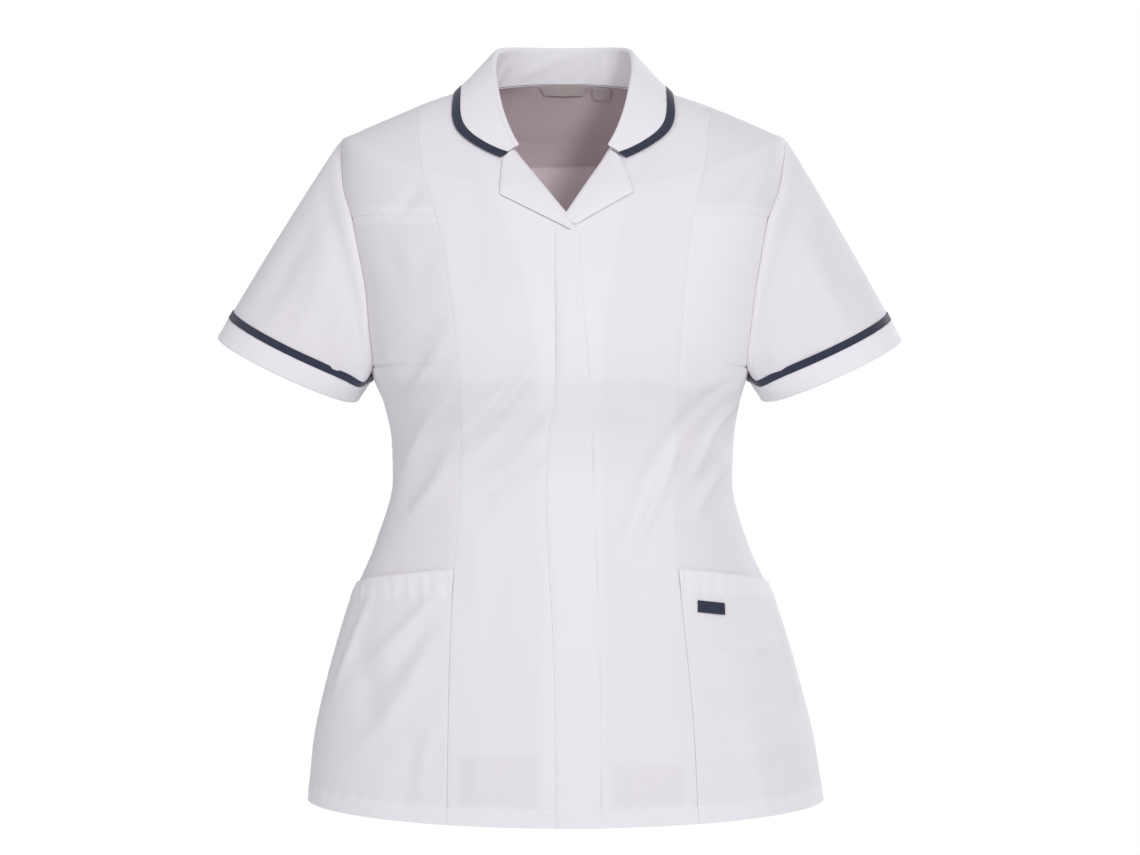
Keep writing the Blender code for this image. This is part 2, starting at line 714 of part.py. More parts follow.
def small_pieces(beige, navy):
    """Hanger loop and plain size tag inside the back neck, and the plain tab on the left pocket."""
    for name, rows_of_ends, levels, columns in (
        ("hanger_loop", LOOP_ENDS, LOOP_LEVELS, 4),
        ("size_tag", TAG_ENDS, TAG_LEVELS, 2),
    ):
        grid = []
        for (first, last), level in zip(rows_of_ends, levels):
            places = [first + (last - first) * i / columns for i in range(columns + 1)]
            grid.append([(180 - angle_at(x, level), level) for x in places])
        add_panel(name, grid, beige, LABEL_LIFT, OVERLAY)
    corners = [place_at(x, z) for x, z in TAB_CORNERS]
    high = [tuple(np.array(corners[0]) * (1 - f) + np.array(corners[1]) * f) for f in (0, 0.5, 1)]
    low = [tuple(np.array(corners[3]) * (1 - f) + np.array(corners[2]) * f) for f in (0, 0.5, 1)]
    seat = (WALL + OVERLAY) / 2 + SEAM + OVERLAY / 2

    def tab_lift(row, column):
        return seat + SEAM + OVERLAY / 2 + TAB_RISE[row][column]

    add_panel("pocket_tab", [low, high], navy, tab_lift, OVERLAY)


for old in list(bpy.data.objects):
    bpy.data.objects.remove(old, do_unlink=True)
GARMENT_COLLECTION = collection(GARMENT)
white_cotton = cloth_material("white_cotton", WHITE, 0.8)
navy_tape = cloth_material("navy_tape", NAVY, 0.75)
beige_tape = cloth_material("beige_tape", BEIGE, 0.85)
centre_fronts(white_cotton)
side_fronts(white_cotton)
back_panels(white_cotton)
lower_pockets(white_cotton)
chest_pocket(white_cotton)
fly_and_zip(white_cotton)
sleeves(white_cotton, navy_tape)
collar(white_cotton, navy_tape)
lapels(white_cotton)
small_pieces(beige_tape, navy_tape)
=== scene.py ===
import bmesh
import bpy
import numpy as np
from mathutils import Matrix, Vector


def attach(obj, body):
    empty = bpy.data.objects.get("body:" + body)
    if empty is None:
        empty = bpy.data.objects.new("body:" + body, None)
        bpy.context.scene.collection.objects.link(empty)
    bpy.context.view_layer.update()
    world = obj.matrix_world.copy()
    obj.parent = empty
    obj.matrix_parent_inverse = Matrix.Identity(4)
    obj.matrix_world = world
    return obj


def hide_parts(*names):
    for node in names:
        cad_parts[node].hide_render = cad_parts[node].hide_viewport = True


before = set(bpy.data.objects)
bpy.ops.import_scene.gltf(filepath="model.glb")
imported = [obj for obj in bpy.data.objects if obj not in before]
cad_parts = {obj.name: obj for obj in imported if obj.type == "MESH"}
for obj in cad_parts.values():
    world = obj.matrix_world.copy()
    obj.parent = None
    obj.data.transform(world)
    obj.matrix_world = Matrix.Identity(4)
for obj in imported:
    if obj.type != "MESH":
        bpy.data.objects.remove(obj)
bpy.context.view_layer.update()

# The back is cut from plain-woven white cotton and polyester cloth in one piece, under a yoke that
# passes over both shoulders. It keeps the rounded, waisted form of the worn tunic, and a stack of rings
# gives that form: an angle runs round a ring from the centre front, and a level names the ring.
MM = 0.001
LAYER = 0.7
SEAM_GAP = 0.12
POINT_GAP = 3.4
EDGE_STEPS = (0.0, 0.7, 1.5, 2.6, 4.2)
HEM_LEVEL = -674
ARMPIT_LEVEL = -268
SHOULDER_LEVEL = -51
VENT_LEVEL = -577
VENT_OPENING = 5.0
HEM_DEPTH = 18
LEFT, RIGHT = 1, -1
SIDES = {"right": RIGHT, "left": LEFT}

RING_COLUMNS = (
    "level", "half_width", "front", "front_height", "back", "back_height", "roundness", "lean",
)
RINGS = (
    (-674, 242.5, 136, -680.5, 120, -676, 2.10, 3.5),
    (-620, 236, 134, -622, 123, -620, 2.10, 2.0),
    (-560, 222, 127, -560, 122, -560, 2.15, 1.0),
    (-487, 200, 114, -487, 110, -487, 2.20, 0.5),
    (-430, 175, 103, -430, 95, -430, 2.25, 0.0),
    (-373, 160.5, 98, -373, 86, -373, 2.30, 0.5),
    (-335, 161.5, 107, -335, 90, -335, 2.35, 0.5),
    (-300, 167.5, 125, -300, 98, -300, 2.40, -0.5),
    (-276, 176, 136, -276, 105, -276, 2.45, -2.0),
    (-240, 184, 140, -243, 112, -240, 2.50, -2.0),
    (-190, 192, 134, -200, 117, -188, 2.50, -1.5),
    (-134, 203, 119, -154, 115, -128, 2.45, -1.5),
    (-90, 210, 108, -127, 108, -82, 2.40, 0.0),
    (-51, 209.5, 97, -106, 97, -42, 2.35, 1.5),
    (-45, 197, 94.5, -102.5, 93.5, -35.5, 2.33, 1.5),
    (-27, 157, 86, -92, 82, -14, 2.25, 1.5),
    (-14, 124, 79, -84, 73, -1, 2.20, 1.5),
    (0, 80, 70, -75, 62, 12, 2.10, 1.5),
)

# Rows of the cut pieces: the levels where each row crosses the princess seam and the side seam.
ROWS = (
    (-674, -674), (-657, -657), (-634, -636), (-611, -617), (-589, -598), (-567, -577),
    (-545, -556), (-521, -534), (-497, -513), (-474, -492), (-452, -472), (-430, -448),
    (-408, -424), (-386, -398), (-364, -373), (-342, -349), (-322, -326), (-304, -306),
    (-286, -288), (-266, -268), (-259, -262.7), (-243, -247.3), (-217, -223.3), (-181, -193),
    (-144, -159.5), (-108, -126), (-84, -95.7), (-65, -71.7), (-53, -56.3), (-46, -51),
    (-40, -44), (-34, -36), (-28, -28.5), (-22.5, -22.5), (-20, -20), (-19.7, -19.7),
    (-19.4, -19.4), (-19.2, -19.2), (-15, -15), (-10, -10), (-4, -4), (0, 0),
)
ROW_MOUTH, ROW_BAG, ROW_CHEST, ROW_YOKE, ROW_NARROW, ROW_TIP, ROW_NECK = 10, 18, 25, 27, 32, 36, 41
PRINCESS, SIDE = 0, 1

# Creases of the hanging cloth in the view from the front or the back, as points along each one.
CREASE_COLUMNS = ("face", "points", "width", "height", "lean")
CREASES = (
    ("front", ((-118, -240), (-160, -345)), 15, -3.0, 0.0),
    ("front", ((-98, -300), (-150, -400)), 15, -3.0, 0.0),
    ("front", ((-30, -250), (-82, -400)), 16, -2.5, 0.0),
    ("front", ((120, -255), (160, -350)), 15, -2.5, 0.0),
    ("front", ((84, -350), (45, -560)), 17, -2.5, 0.0),
    ("front", ((-185, -520), (-170, -610)), 16, -3.0, 0.0),
    ("front", ((-120, -600), (-145, -674)), 16, -3.0, 0.0),
    ("front", ((165, -560), (185, -674)), 17, 3.0, 0.0),
    ("front", ((-101, -249), (-123, -276), (-148, -308)), 7.2, 4.4, 0.9),
    ("front", ((-99, -294), (-123, -326), (-146, -362)), 7.2, 4.4, 0.9),
    ("front", ((-96, -344), (-117, -380), (-141, -407)), 8, 3.8, 0.8),
    ("front", ((-105, -226), (-141, -249), (-159, -263)), 7.2, -3.8, 0.0),
    ("front", ((-159, -154), (-141, -199)), 10, -1.4, 0.5),
    ("front", ((-117, -154), (-135, -199)), 10, -1.4, -0.5),
    ("front", ((-14, -177), (-8, -208), (-6, -231), (-6, -290)), 6.5, -2.8, 0.6),
    ("front", ((-15, -254), (-47, -299), (-87, -348)), 7.2, 5.0, 0.9),
    ("front", ((-10, -240), (-56, -294), (-90, -326)), 6.4, -3.8, 0.0),
    ("front", ((-9, -294), (-38, -335), (-78, -380)), 7.2, 4.4, 0.8),
    ("front", ((-10, -335), (-33, -366), (-65, -402)), 7.2, 3.8, 0.8),
    ("front", ((-56, -443), (-65, -497), (-56, -551)), 15, -2.5, 0.3),
    ("front", ((-83, -407), (-74, -479), (-79, -524)), 12, 2.2, -0.5),
    ("front", ((116, -308), (89, -353), (62, -425), (46, -470)), 8, -3.8, 0.5),
    ("front", ((103, -335), (75, -407), (44, -452)), 7.2, 3.8, -0.8),
    ("front", ((35, -443), (53, -470), (71, -515)), 7.2, -3.1, 0.4),
    ("front", ((53, -208), (71, -263), (107, -294)), 12, 2.2, 0.5),
    ("front", ((71, -479), (93, -533), (98, -605)), 13, 2.6, -0.4),
    ("front", ((166, -294), (138, -326), (116, -371)), 7.2, 4.4, -0.9),
    ("front", ((161, -344), (138, -371), (118, -407)), 8, 3.8, -0.8),
    ("front", ((166, -276), (138, -294), (111, -317)), 7.2, -3.1, 0.0),
    ("front", ((-105, -470), (-137, -506), (-173, -538)), 8, 3.8, 0.8),
    ("front", ((-110, -515), (-141, -569), (-186, -624)), 11, 3.5, 0.8),
    ("front", ((-119, -497), (-159, -551), (-191, -569)), 8, -3.1, 0.0),
    ("front", ((-173, -479), (-191, -524), (-209, -569)), 7.2, 3.2, 0.8),
    ("front", ((-110, -587), (-123, -624), (-128, -660)), 8, 3.2, 0.6),
    ("front", ((125, -515), (161, -529), (197, -515)), 7.2, 3.1, 0.7),
    ("front", ((129, -560), (166, -574), (206, -569)), 8, -2.8, 0.0),
    ("front", ((125, -605), (170, -615), (215, -601)), 11, 2.2, 0.6),
    ("front", ((193, -479), (206, -533), (220, -587)), 7.2, 3.2, -0.7),
    ("front", ((-69, -605), (-74, -642), (-68, -673)), 12, 2.2, 0.4),
    ("front", ((-128, -100), (-144, -123), (-160, -132)), 7.2, -2.5, 0.3),
    ("front", ((179, -91), (161, -114), (139, -125)), 7.2, -2.5, 0.3),
    ("front", ((-83, -109), (-75, -163), (-83, -208)), 13, -2.2, 0.3),
    ("front", ((84, -100), (80, -154), (91, -208)), 13, -2.2, 0.3),
    ("back", ((-70, -260), (-45, -520)), 18, 5.2, 0.0),
    ("back", ((70, -250), (48, -500)), 18, 5.2, 0.0),
    ("back", ((0, -300), (-8, -440)), 16, -3.8, 0.0),
    ("back", ((-150, -300), (-100, -370)), 15, -4.5, 0.0),
    ("back", ((152, -290), (105, -375)), 15, -4.5, 0.0),
    ("back", ((-130, -560), (-150, -674)), 20, 6.0, 0.0),
    ("back", ((20, -575), (30, -674)), 20, 5.2, 0.0),
    ("back", ((140, -570), (158, -674)), 20, 6.0, 0.0),
    ("back", ((-148, -352), (-104, -372), (-52, -366), (-10, -378)), 7, 5.1, 0.8),
    ("back", ((150, -366), (110, -388), (64, -380), (20, -392)), 7, 5.1, 0.8),
    ("back", ((-120, -404), (-70, -416), (-30, -408)), 7, 4.1, -0.8),
    ("back", ((118, -418), (80, -430), (36, -420)), 8, 4.1, 0.8),
    ("back", ((-166, -215), (-138, -262), (-96, -296)), 9, 5.1, 0.8),
    ("back", ((164, -222), (134, -266), (98, -292)), 9, 5.1, -0.8),
    ("back", ((-90, -110), (-60, -150), (-52, -200)), 13, 4.1, 0.4),
    ("back", ((92, -105), (66, -150), (58, -196)), 13, 4.1, -0.4),
    ("back", ((-84, -480), (-92, -560), (-84, -640)), 14, -5.1, 0.4),
    ("back", ((84, -470), (88, -540), (80, -650)), 14, -5.1, -0.4),
    ("back", ((-188, -500), (-200, -560), (-205, -640)), 12, 4.7, 0.4),
)


def curve(points):
    """A smooth line through the points that never swings past them."""
    xs, ys = np.array(points, float).T
    step = np.diff(xs)
    rise = np.diff(ys) / step
    slope = np.concatenate(([rise[0]], np.zeros(len(xs) - 2), [rise[-1]]))
    for i in range(1, len(xs) - 1):
        if rise[i - 1] * rise[i] > 0:
            slope[i] = 2 * rise[i - 1] * rise[i] / (rise[i - 1] + rise[i])

    def at(x):
        x = np.clip(x, xs[0], xs[-1])
        i = np.clip(np.searchsorted(xs, x, side="right") - 1, 0, len(step) - 1)
        t = (x - xs[i]) / step[i]
        held = ys[i] * (1 + 2 * t) * (1 - t) ** 2 + ys[i + 1] * t * t * (3 - 2 * t)
        return held + step[i] * t * (1 - t) * (slope[i] * (1 - t) - slope[i + 1] * t)

    return at


RING_CURVES = {name: curve([(row[0], row[i]) for row in RINGS]) for i, name in enumerate(RING_COLUMNS)}


def smooth_body(angle, level):
    """Points of the body's surface before any crease."""
    angle, level = np.broadcast_arrays(np.asarray(angle, float), np.asarray(level, float))
    ring = {name: at(level) for name, at in RING_CURVES.items()}
    s, c = np.sin(np.radians(angle)), np.cos(np.radians(angle))
    power = 2 / ring["roundness"]
    depth = np.where(c >= 0, ring["front"], ring["back"])
    height = np.where(c >= 0, ring["front_height"], ring["back_height"])
    x = ring["lean"] + ring["half_width"] * np.sign(s) * np.abs(s) ** power
    y = -np.sign(c) * depth * np.abs(c) ** power
    return np.stack([x, y, level + (height - level) * c * c], axis=-1)


def outward(angle, level):
    """Directions straight out of the smooth body."""
    level = np.asarray(level, float)
    round_it = smooth_body(angle + 0.6, level) - smooth_body(angle - 0.6, level)
    up_it = smooth_body(angle, np.minimum(level + 1.5, 0)) - smooth_body(angle, np.maximum(level - 1.5, HEM_LEVEL))
    normal = np.cross(round_it, up_it)
    return normal / np.linalg.norm(normal, axis=-1, keepdims=True)


def angle_at(x, level):
    """Angle on the front where a ring is x from the centre plane."""
    lean, half_width, roundness = (RING_CURVES[name](level) for name in ("lean", "half_width", "roundness"))
    share = np.clip((x - lean) / half_width, -1, 1)
    return np.degrees(np.sign(share) * np.arcsin(np.abs(share) ** (roundness / 2)))


def place_at(x, z, face="front"):
    """Angle and level of the points of the front or back at x and z."""
    x, z = np.asarray(x, float), np.asarray(z, float)

    def turned(angle):
        return angle if face == "front" else 180 - angle

    low, high = np.full(x.shape, float(HEM_LEVEL)), np.zeros(x.shape)
    for _ in range(30):
        level = (low + high) / 2
        below = smooth_body(turned(angle_at(x, level)), level)[..., 2] < z
        low, high = np.where(below, level, low), np.where(below, high, level)
    return turned(angle_at(x, level)), level


def rounded(points, count):
    """Points evenly along a smooth line through a few given ones."""
    points = np.array(points, float)
    length = np.concatenate(([0], np.cumsum(np.linalg.norm(np.diff(points, axis=0), axis=1))))
    wanted = np.linspace(0, length[-1], count)
    return np.stack([curve(list(zip(length, column)))(wanted) for column in points.T], axis=-1)


def crease_height(points, normals, creases):
    """How far creases, each a line in space, lift the cloth at points; a lean makes one flank steeper."""
    total = np.zeros(points.shape[:-1])
    for line, width, height, lean in creases:
        near = np.linalg.norm(points - line.mean(axis=0), axis=-1)
        reach = np.linalg.norm(line - line.mean(axis=0), axis=1).max() + 3 * width
        touched = near < reach
        if not touched.any():
            continue
        start, along = line[:-1], np.diff(line, axis=0)
        away = points[touched][:, None, :] - start
        place = np.clip((away * along).sum(-1) / (along * along).sum(-1), 0, 1)
        off = away - place[..., None] * along
        best = np.linalg.norm(off, axis=-1).argmin(axis=1)
        rows = np.arange(len(best))
        off, share = off[rows, best], (best + place[rows, best]) / len(start)
        side = (np.cross(along[best], normals[touched]) * off).sum(-1) / np.linalg.norm(along[best], axis=1)
        faded = np.sin(np.pi * np.clip(share, 0.02, 0.98)) ** 0.6
        bell = np.exp(-((off * off).sum(-1) / width**2))
        total[touched] += height * faded * bell * (1 + lean * side / width)
    return total


def unit(vector):
    return vector / np.linalg.norm(vector)


BODY_CREASES = []
for crease in (dict(zip(CREASE_COLUMNS, row)) for row in CREASES):
    x, z = rounded(crease["points"], 12).T
    line = smooth_body(*place_at(x, z, crease["face"]))
    BODY_CREASES.append((line, crease["width"], crease["height"], crease["lean"]))


def unevenness(points):
    """The slow, slight waviness of cloth that hangs free."""
    x, y, z = points[..., 0], points[..., 1], points[..., 2]
    slow = np.sin(x / 23 + 1.1 * np.sin(z / 61)) * np.cos(z / 47 + y / 39)
    quick = np.sin(z / 13 + x / 29) * np.cos(x / 17 - y / 21 + 1.7)
    return 0.45 * slow + 0.12 * quick


def body(angle, level, lift=0.0):
    """Points of the creased body, moved outwards by lift."""
    smooth, normal = smooth_body(angle, level), outward(angle, level)
    fade = np.minimum(1, np.abs(np.cos(np.radians(angle))) * 4)
    height = crease_height(smooth, normal, BODY_CREASES) * fade + unevenness(smooth)
    return smooth + normal * (lift + height)[..., None]


def stepped(angle, level, distance):
    """The angle that lies a distance further round the ring."""
    there = np.linalg.norm(smooth_body(angle + 0.5, level) - smooth_body(angle - 0.5, level), axis=-1)
    return angle + distance / there


# How far the armhole is cut back from the side, from the armpit at 0 to the shoulder at 1.
ARMHOLE = {
    "front": curve(((0, 0), (0.08, 16), (0.24, 20), (0.42, 22), (0.58, 21.5), (0.7, 14.5), (0.82, 7.5), (1, 0))),
    "back": curve(((0, 0), (0.08, 14), (0.24, 18), (0.42, 20), (0.58, 19.5), (0.7, 15), (0.82, 9), (1, 0))),
}


def armhole_share(level):
    rise = (level - ARMPIT_LEVEL) / (SHOULDER_LEVEL - ARMPIT_LEVEL)
    return np.degrees(np.arccos(1 - 2 * np.clip(rise, 0, 1))) / 180


def side_edge(side, level, panel):
    """Angles of a panel's edge along the side seam, the armhole or the shoulder seam."""
    towards = -1 if panel == "front" else 1
    inside = (level > ARMPIT_LEVEL) & (level < SHOULDER_LEVEL)
    angle = 90.0 + towards * np.where(inside, ARMHOLE[panel](armhole_share(level)), 0)
    vent = VENT_OPENING / 2 * np.maximum(0, (VENT_LEVEL - level) / (VENT_LEVEL - HEM_LEVEL))
    return SIDES[side] * stepped(angle, level, towards * (SEAM_GAP / 2 + vent))


def spaced(length, gap=POINT_GAP):
    """Shares along a length, closer together at its two ends."""
    ends = np.array([step for step in EDGE_STEPS if step < length / 3])
    inner = np.linspace(ends[-1], length - ends[-1], max(2, int((length - 2 * ends[-1]) / gap) + 1))
    return np.unique(np.concatenate((ends, inner, length - ends)).round(4)) / length


def row_levels(first_row, last_row, first_seam, last_seam, trimmed=0.0):
    """Levels along a panel's two side edges, for rows of points one point gap apart."""
    rows = np.arange(first_row, last_row + 1)
    picked = [np.array([ROWS[row][seam] for row in rows], float) for seam in (first_seam, last_seam)]
    picked[0][0] += trimmed
    picked[1][0] += trimmed
    mean = (picked[0] + picked[1]) / 2
    probes = np.array([20, 75, 105, 160])
    steps = np.linalg.norm(np.diff(smooth_body(probes[:, None], mean), axis=1), axis=2).max(axis=0)
    travelled = np.concatenate(([0], np.cumsum(steps)))
    wanted, kept = spaced(travelled[-1]) * travelled[-1], travelled[rows >= ROW_NARROW]
    if len(kept):
        clear = np.abs(wanted[:, None] - kept).min(axis=1) > 0.5
        wanted = np.sort(np.concatenate((wanted[clear], kept)))
    return [np.interp(wanted, travelled, column) for column in picked]


class Cut:
    """A cut piece on the body: the angle and level of its points and how far they lie from its edges."""

    def __init__(self, levels, first_edge, last_edge, gap=POINT_GAP):
        first, last = first_edge(levels[0]), last_edge(levels[1])
        middle = len(first) // 2
        probe = np.linspace(first[middle], last[middle], 60)
        width = np.linalg.norm(np.diff(smooth_body(probe, levels[0][middle]), axis=0), axis=1).sum()
        share = spaced(width, gap)
        self.angle = first[:, None] + (last - first)[:, None] * share
        self.level = levels[0][:, None] + (levels[1] - levels[0])[:, None] * share
        self.smooth = smooth_body(self.angle, self.level)
        across = np.linalg.norm(np.diff(self.smooth, axis=1), axis=2)
        along = np.linalg.norm(np.diff(self.smooth, axis=0), axis=2)
        self.from_first = np.pad(np.cumsum(across, axis=1), ((0, 0), (1, 0)))
        self.from_last = self.from_first[:, -1:] - self.from_first
        self.from_low = np.pad(np.cumsum(along, axis=0), ((1, 0), (0, 0)))
        self.from_high = self.from_low[-1:] - self.from_low
        self.lift = np.zeros(self.angle.shape)
        self.turned_in = np.zeros(self.angle.shape)
        self.doubled = np.zeros(self.angle.shape)

    def surfaces(self, lift=0.0, thickness=LAYER):
        """The piece's outer and inner points."""
        middle, normal = body(self.angle, self.level, lift + self.lift), outward(self.angle, self.level)
        inner = thickness / 2 + self.turned_in
        return middle + normal * thickness / 2, middle - normal * inner[..., None]

    def texture(self):
        return np.stack([self.from_first, self.from_low], axis=-1)


def ripple(distance, pitch, seed):
    """Uneven little waves along a line of stitching."""
    random = np.random.default_rng(seed)
    waves = [(random.uniform(0.75, 1.6), random.uniform(0, 2 * np.pi)) for _ in range(4)]
    return sum(np.sin(2 * np.pi * distance / (pitch * length) + phase) for length, phase in waves) / 2.2


def seam_lift(from_seam, along, seed, depth=0.45, pucker=0.3):
    """The cloth sinks into a seam and puckers a little beside it."""
    sunk = -depth * np.exp(-((from_seam / 1.7) ** 2))
    return sunk + pucker * ripple(along, 10, seed) * np.exp(-from_seam / 9) * (1 - np.exp(-from_seam / 1.5))


def pressed_allowance(from_seam, width):
    """Share of the doubled cloth where a seam allowance lies behind."""
    return 1 / (1 + np.exp((from_seam - width) / 0.8))


def hem_lift(from_hem, along, seed):
    """A turned-up hem: fuller below its line of stitches, with slanting puckers."""
    band = 1 / (1 + np.exp((from_hem - HEM_DEPTH) / 0.8))
    groove = -0.35 * np.exp(-(((from_hem - HEM_DEPTH + 1) / 1.3) ** 2))
    slanting = 0.8 * ripple(along + from_hem * 0.6, 12, seed) * np.exp(-(((from_hem - 14) / 7) ** 2))
    return 0.25 * band + groove + slanting


def shell(name, outer, inner, material, texture, doubled=None, closed=False, hollow_shade=1.0):
    """A closed thin shell between two grids of points; closed joins the two ends of each row."""
    rows, columns = outer.shape[:2]
    points = np.concatenate((outer.reshape(-1, 3), inner.reshape(-1, 3))) * MM
    index = np.arange(rows * columns).reshape(rows, columns)
    if closed:
        index = np.concatenate((index, index[:, :1]), axis=1)
    under = index + rows * columns

    def quads(a, b, c, d):
        return np.stack([np.ravel(corner) for corner in (a, b, c, d)], axis=1)

    faces = [
        quads(index[:-1, :-1], index[:-1, 1:], index[1:, 1:], index[1:, :-1]),
        quads(under[:-1, :-1], under[1:, :-1], under[1:, 1:], under[:-1, 1:]),
        quads(index[0, 1:], index[0, :-1], under[0, :-1], under[0, 1:]),
        quads(index[-1, :-1], index[-1, 1:], under[-1, 1:], under[-1, :-1]),
    ]
    if not closed:
        faces.append(quads(index[:-1, 0], index[1:, 0], under[1:, 0], under[:-1, 0]))
        faces.append(quads(index[1:, -1], index[:-1, -1], under[:-1, -1], under[1:, -1]))
    faces = np.concatenate(faces)
    a, b, c, d = (points[faces[:, k]] for k in range(4))
    volume = (a * np.cross(b, c)).sum() + (a * np.cross(c, d)).sum()
    if volume < 0:
        faces = faces[:, ::-1]
    mesh = bpy.data.meshes.new(name)
    mesh.from_pydata(points.tolist(), [], faces.tolist())
    flat = np.concatenate((texture.reshape(-1, 2), texture.reshape(-1, 2))) * MM
    corner = np.empty(len(mesh.loops), np.int32)
    mesh.loops.foreach_get("vertex_index", corner)
    mesh.uv_layers.new(name="cloth").data.foreach_set("uv", flat[corner].astype(np.float32).ravel())
    # The doubled share sets painted light and shade in the cloth colour: whiter outside, darker painted hollow shade
    # inside.
    doubled = np.zeros((rows, columns)) if doubled is None else np.clip(doubled, 0, 1)
    whole = np.concatenate((doubled.ravel(), doubled.ravel())).astype(np.float32)
    mesh.attributes.new("doubled", "FLOAT", "POINT").data.foreach_set("value", whole)
    # Inner faces carry painted hollow shade at the given strength; the end rims keep the outside colour.
    inside = np.full((rows, columns), hollow_shade)
    inside[[0, -1]] = 0
    if not closed:
        inside[:, [0, -1]] = 0
    inside = np.concatenate((np.zeros(rows * columns), inside.ravel())).astype(np.float32)
    mesh.attributes.new("inside", "FLOAT", "POINT").data.foreach_set("value", inside)
    mesh.materials.append(material)
    mesh.shade_smooth()
    mesh.set_sharp_from_angle(angle=np.radians(55))
    piece = bpy.data.objects.new(name, mesh)
    bpy.context.scene.collection.objects.link(piece)
    return piece


def woven(name, colour, thread, roughness, sheen, relief):
    """A cloth whose plain weave follows the piece's own texture coordinates; thread is in millimetres."""
    material = bpy.data.materials.new(name)
    material.use_nodes = True
    nodes, links = material.node_tree.nodes, material.node_tree.links
    shader = nodes["Principled BSDF"]
    shader.inputs["Base Color"].default_value = (*colour, 1)
    shader.inputs["Roughness"].default_value = roughness
    shader.inputs["Specular IOR Level"].default_value = 0.25
    shader.inputs["Sheen Weight"].default_value = sheen
    shader.inputs["Sheen Roughness"].default_value = 0.6
    place = nodes.new("ShaderNodeUVMap")
    place.uv_map = "cloth"
    split = nodes.new("ShaderNodeSeparateXYZ")
    links.new(place.outputs["UV"], split.inputs["Vector"])
    waves = []
    for axis in ("X", "Y"):
        scaled = nodes.new("ShaderNodeMath")
        scaled.operation = "MULTIPLY"
        scaled.inputs[1].default_value = np.pi / (thread * MM)
        links.new(split.outputs[axis], scaled.inputs[0])
        wave = nodes.new("ShaderNodeMath")
        wave.operation = "SINE"
        links.new(scaled.outputs["Value"], wave.inputs[0])
        waves.append(wave)
    over_under = nodes.new("ShaderNodeMath")
    over_under.operation = "MULTIPLY"
    links.new(waves[0].outputs["Value"], over_under.inputs[0])
    links.new(waves[1].outputs["Value"], over_under.inputs[1])
    slub = nodes.new("ShaderNodeTexNoise")
    slub.inputs["Scale"].default_value = 900
    slub.inputs["Detail"].default_value = 3
    links.new(place.outputs["UV"], slub.inputs["Vector"])
    height = nodes.new("ShaderNodeMath")
    height.operation = "MULTIPLY_ADD"
    height.inputs[1].default_value = 0.5
    links.new(over_under.outputs["Value"], height.inputs[0])
    links.new(slub.outputs["Fac"], height.inputs[2])
    bump = nodes.new("ShaderNodeBump")
    bump.inputs["Strength"].default_value = relief
    bump.inputs["Distance"].default_value = 0.0001
    links.new(height.outputs["Value"], bump.inputs["Height"])
    links.new(bump.outputs["Normal"], shader.inputs["Normal"])
    return material


def white_cloth():
    """White cloth: whiter outside where doubled, partly the doubled cloth and partly less painted shade of the hollow
    showing through; inside, painted mauve-grey hollow shade, darker where doubled.
    """
    material = woven("white_cloth", (0.8, 0.8, 0.8), 0.36, 0.85, 0.12, 0.25)
    nodes, links = material.node_tree.nodes, material.node_tree.links

    def attribute(name):
        node = nodes.new("ShaderNodeAttribute")
        node.attribute_name = name
        return node.outputs["Fac"]

    def mixed(factor, first, second):
        node = nodes.new("ShaderNodeMix")
        node.data_type = "RGBA"
        links.new(factor, node.inputs["Factor"])
        for socket, colour in ((node.inputs["A"], first), (node.inputs["B"], second)):
            if isinstance(colour, tuple):
                socket.default_value = (*colour, 1)
            else:
                links.new(colour, socket)
        return node.outputs["Result"]

    place = nodes.new("ShaderNodeTexCoord")
    patch = nodes.new("ShaderNodeTexNoise")
    patch.inputs["Scale"].default_value = 14
    patch.inputs["Detail"].default_value = 2
    links.new(place.outputs["Object"], patch.inputs["Vector"])
    # Random cool and warm cloth tone for a single layer, set darker by painted shade of the hollow showing through the
    # thin cloth.
    single = mixed(patch.outputs["Fac"], SINGLE_COOL_TONE_AND_SHADE, SINGLE_WARM_TONE_AND_SHADE)
    outside = mixed(attribute("doubled"), single, DOUBLE_LAYER)
    # Painted hollow shade for the inner faces: painted light through one layer of cloth, and darker painted shade where
    # two layers let less light in.
    hollow_shade = mixed(attribute("doubled"), HOLLOW_SINGLE_PAINTED_LIGHT, HOLLOW_DOUBLE_PAINTED_SHADE)
    whole = mixed(attribute("inside"), outside, hollow_shade)
    links.new(whole, nodes["Principled BSDF"].inputs["Base Color"])
    return material


# Outside colours: single-layer cloth tone darkened by painted shade of the hollow, and whiter doubled cloth. Inside
# colours: painted light and painted shade of the hollow.
SINGLE_COOL_TONE_AND_SHADE = (0.835, 0.805, 0.865)
SINGLE_WARM_TONE_AND_SHADE = (0.85, 0.825, 0.85)
DOUBLE_LAYER = (0.905, 0.885, 0.925)
HOLLOW_SINGLE_PAINTED_LIGHT = (0.95, 0.845, 0.875)
HOLLOW_DOUBLE_PAINTED_SHADE = (0.66, 0.555, 0.585)
WHITE = white_cloth()


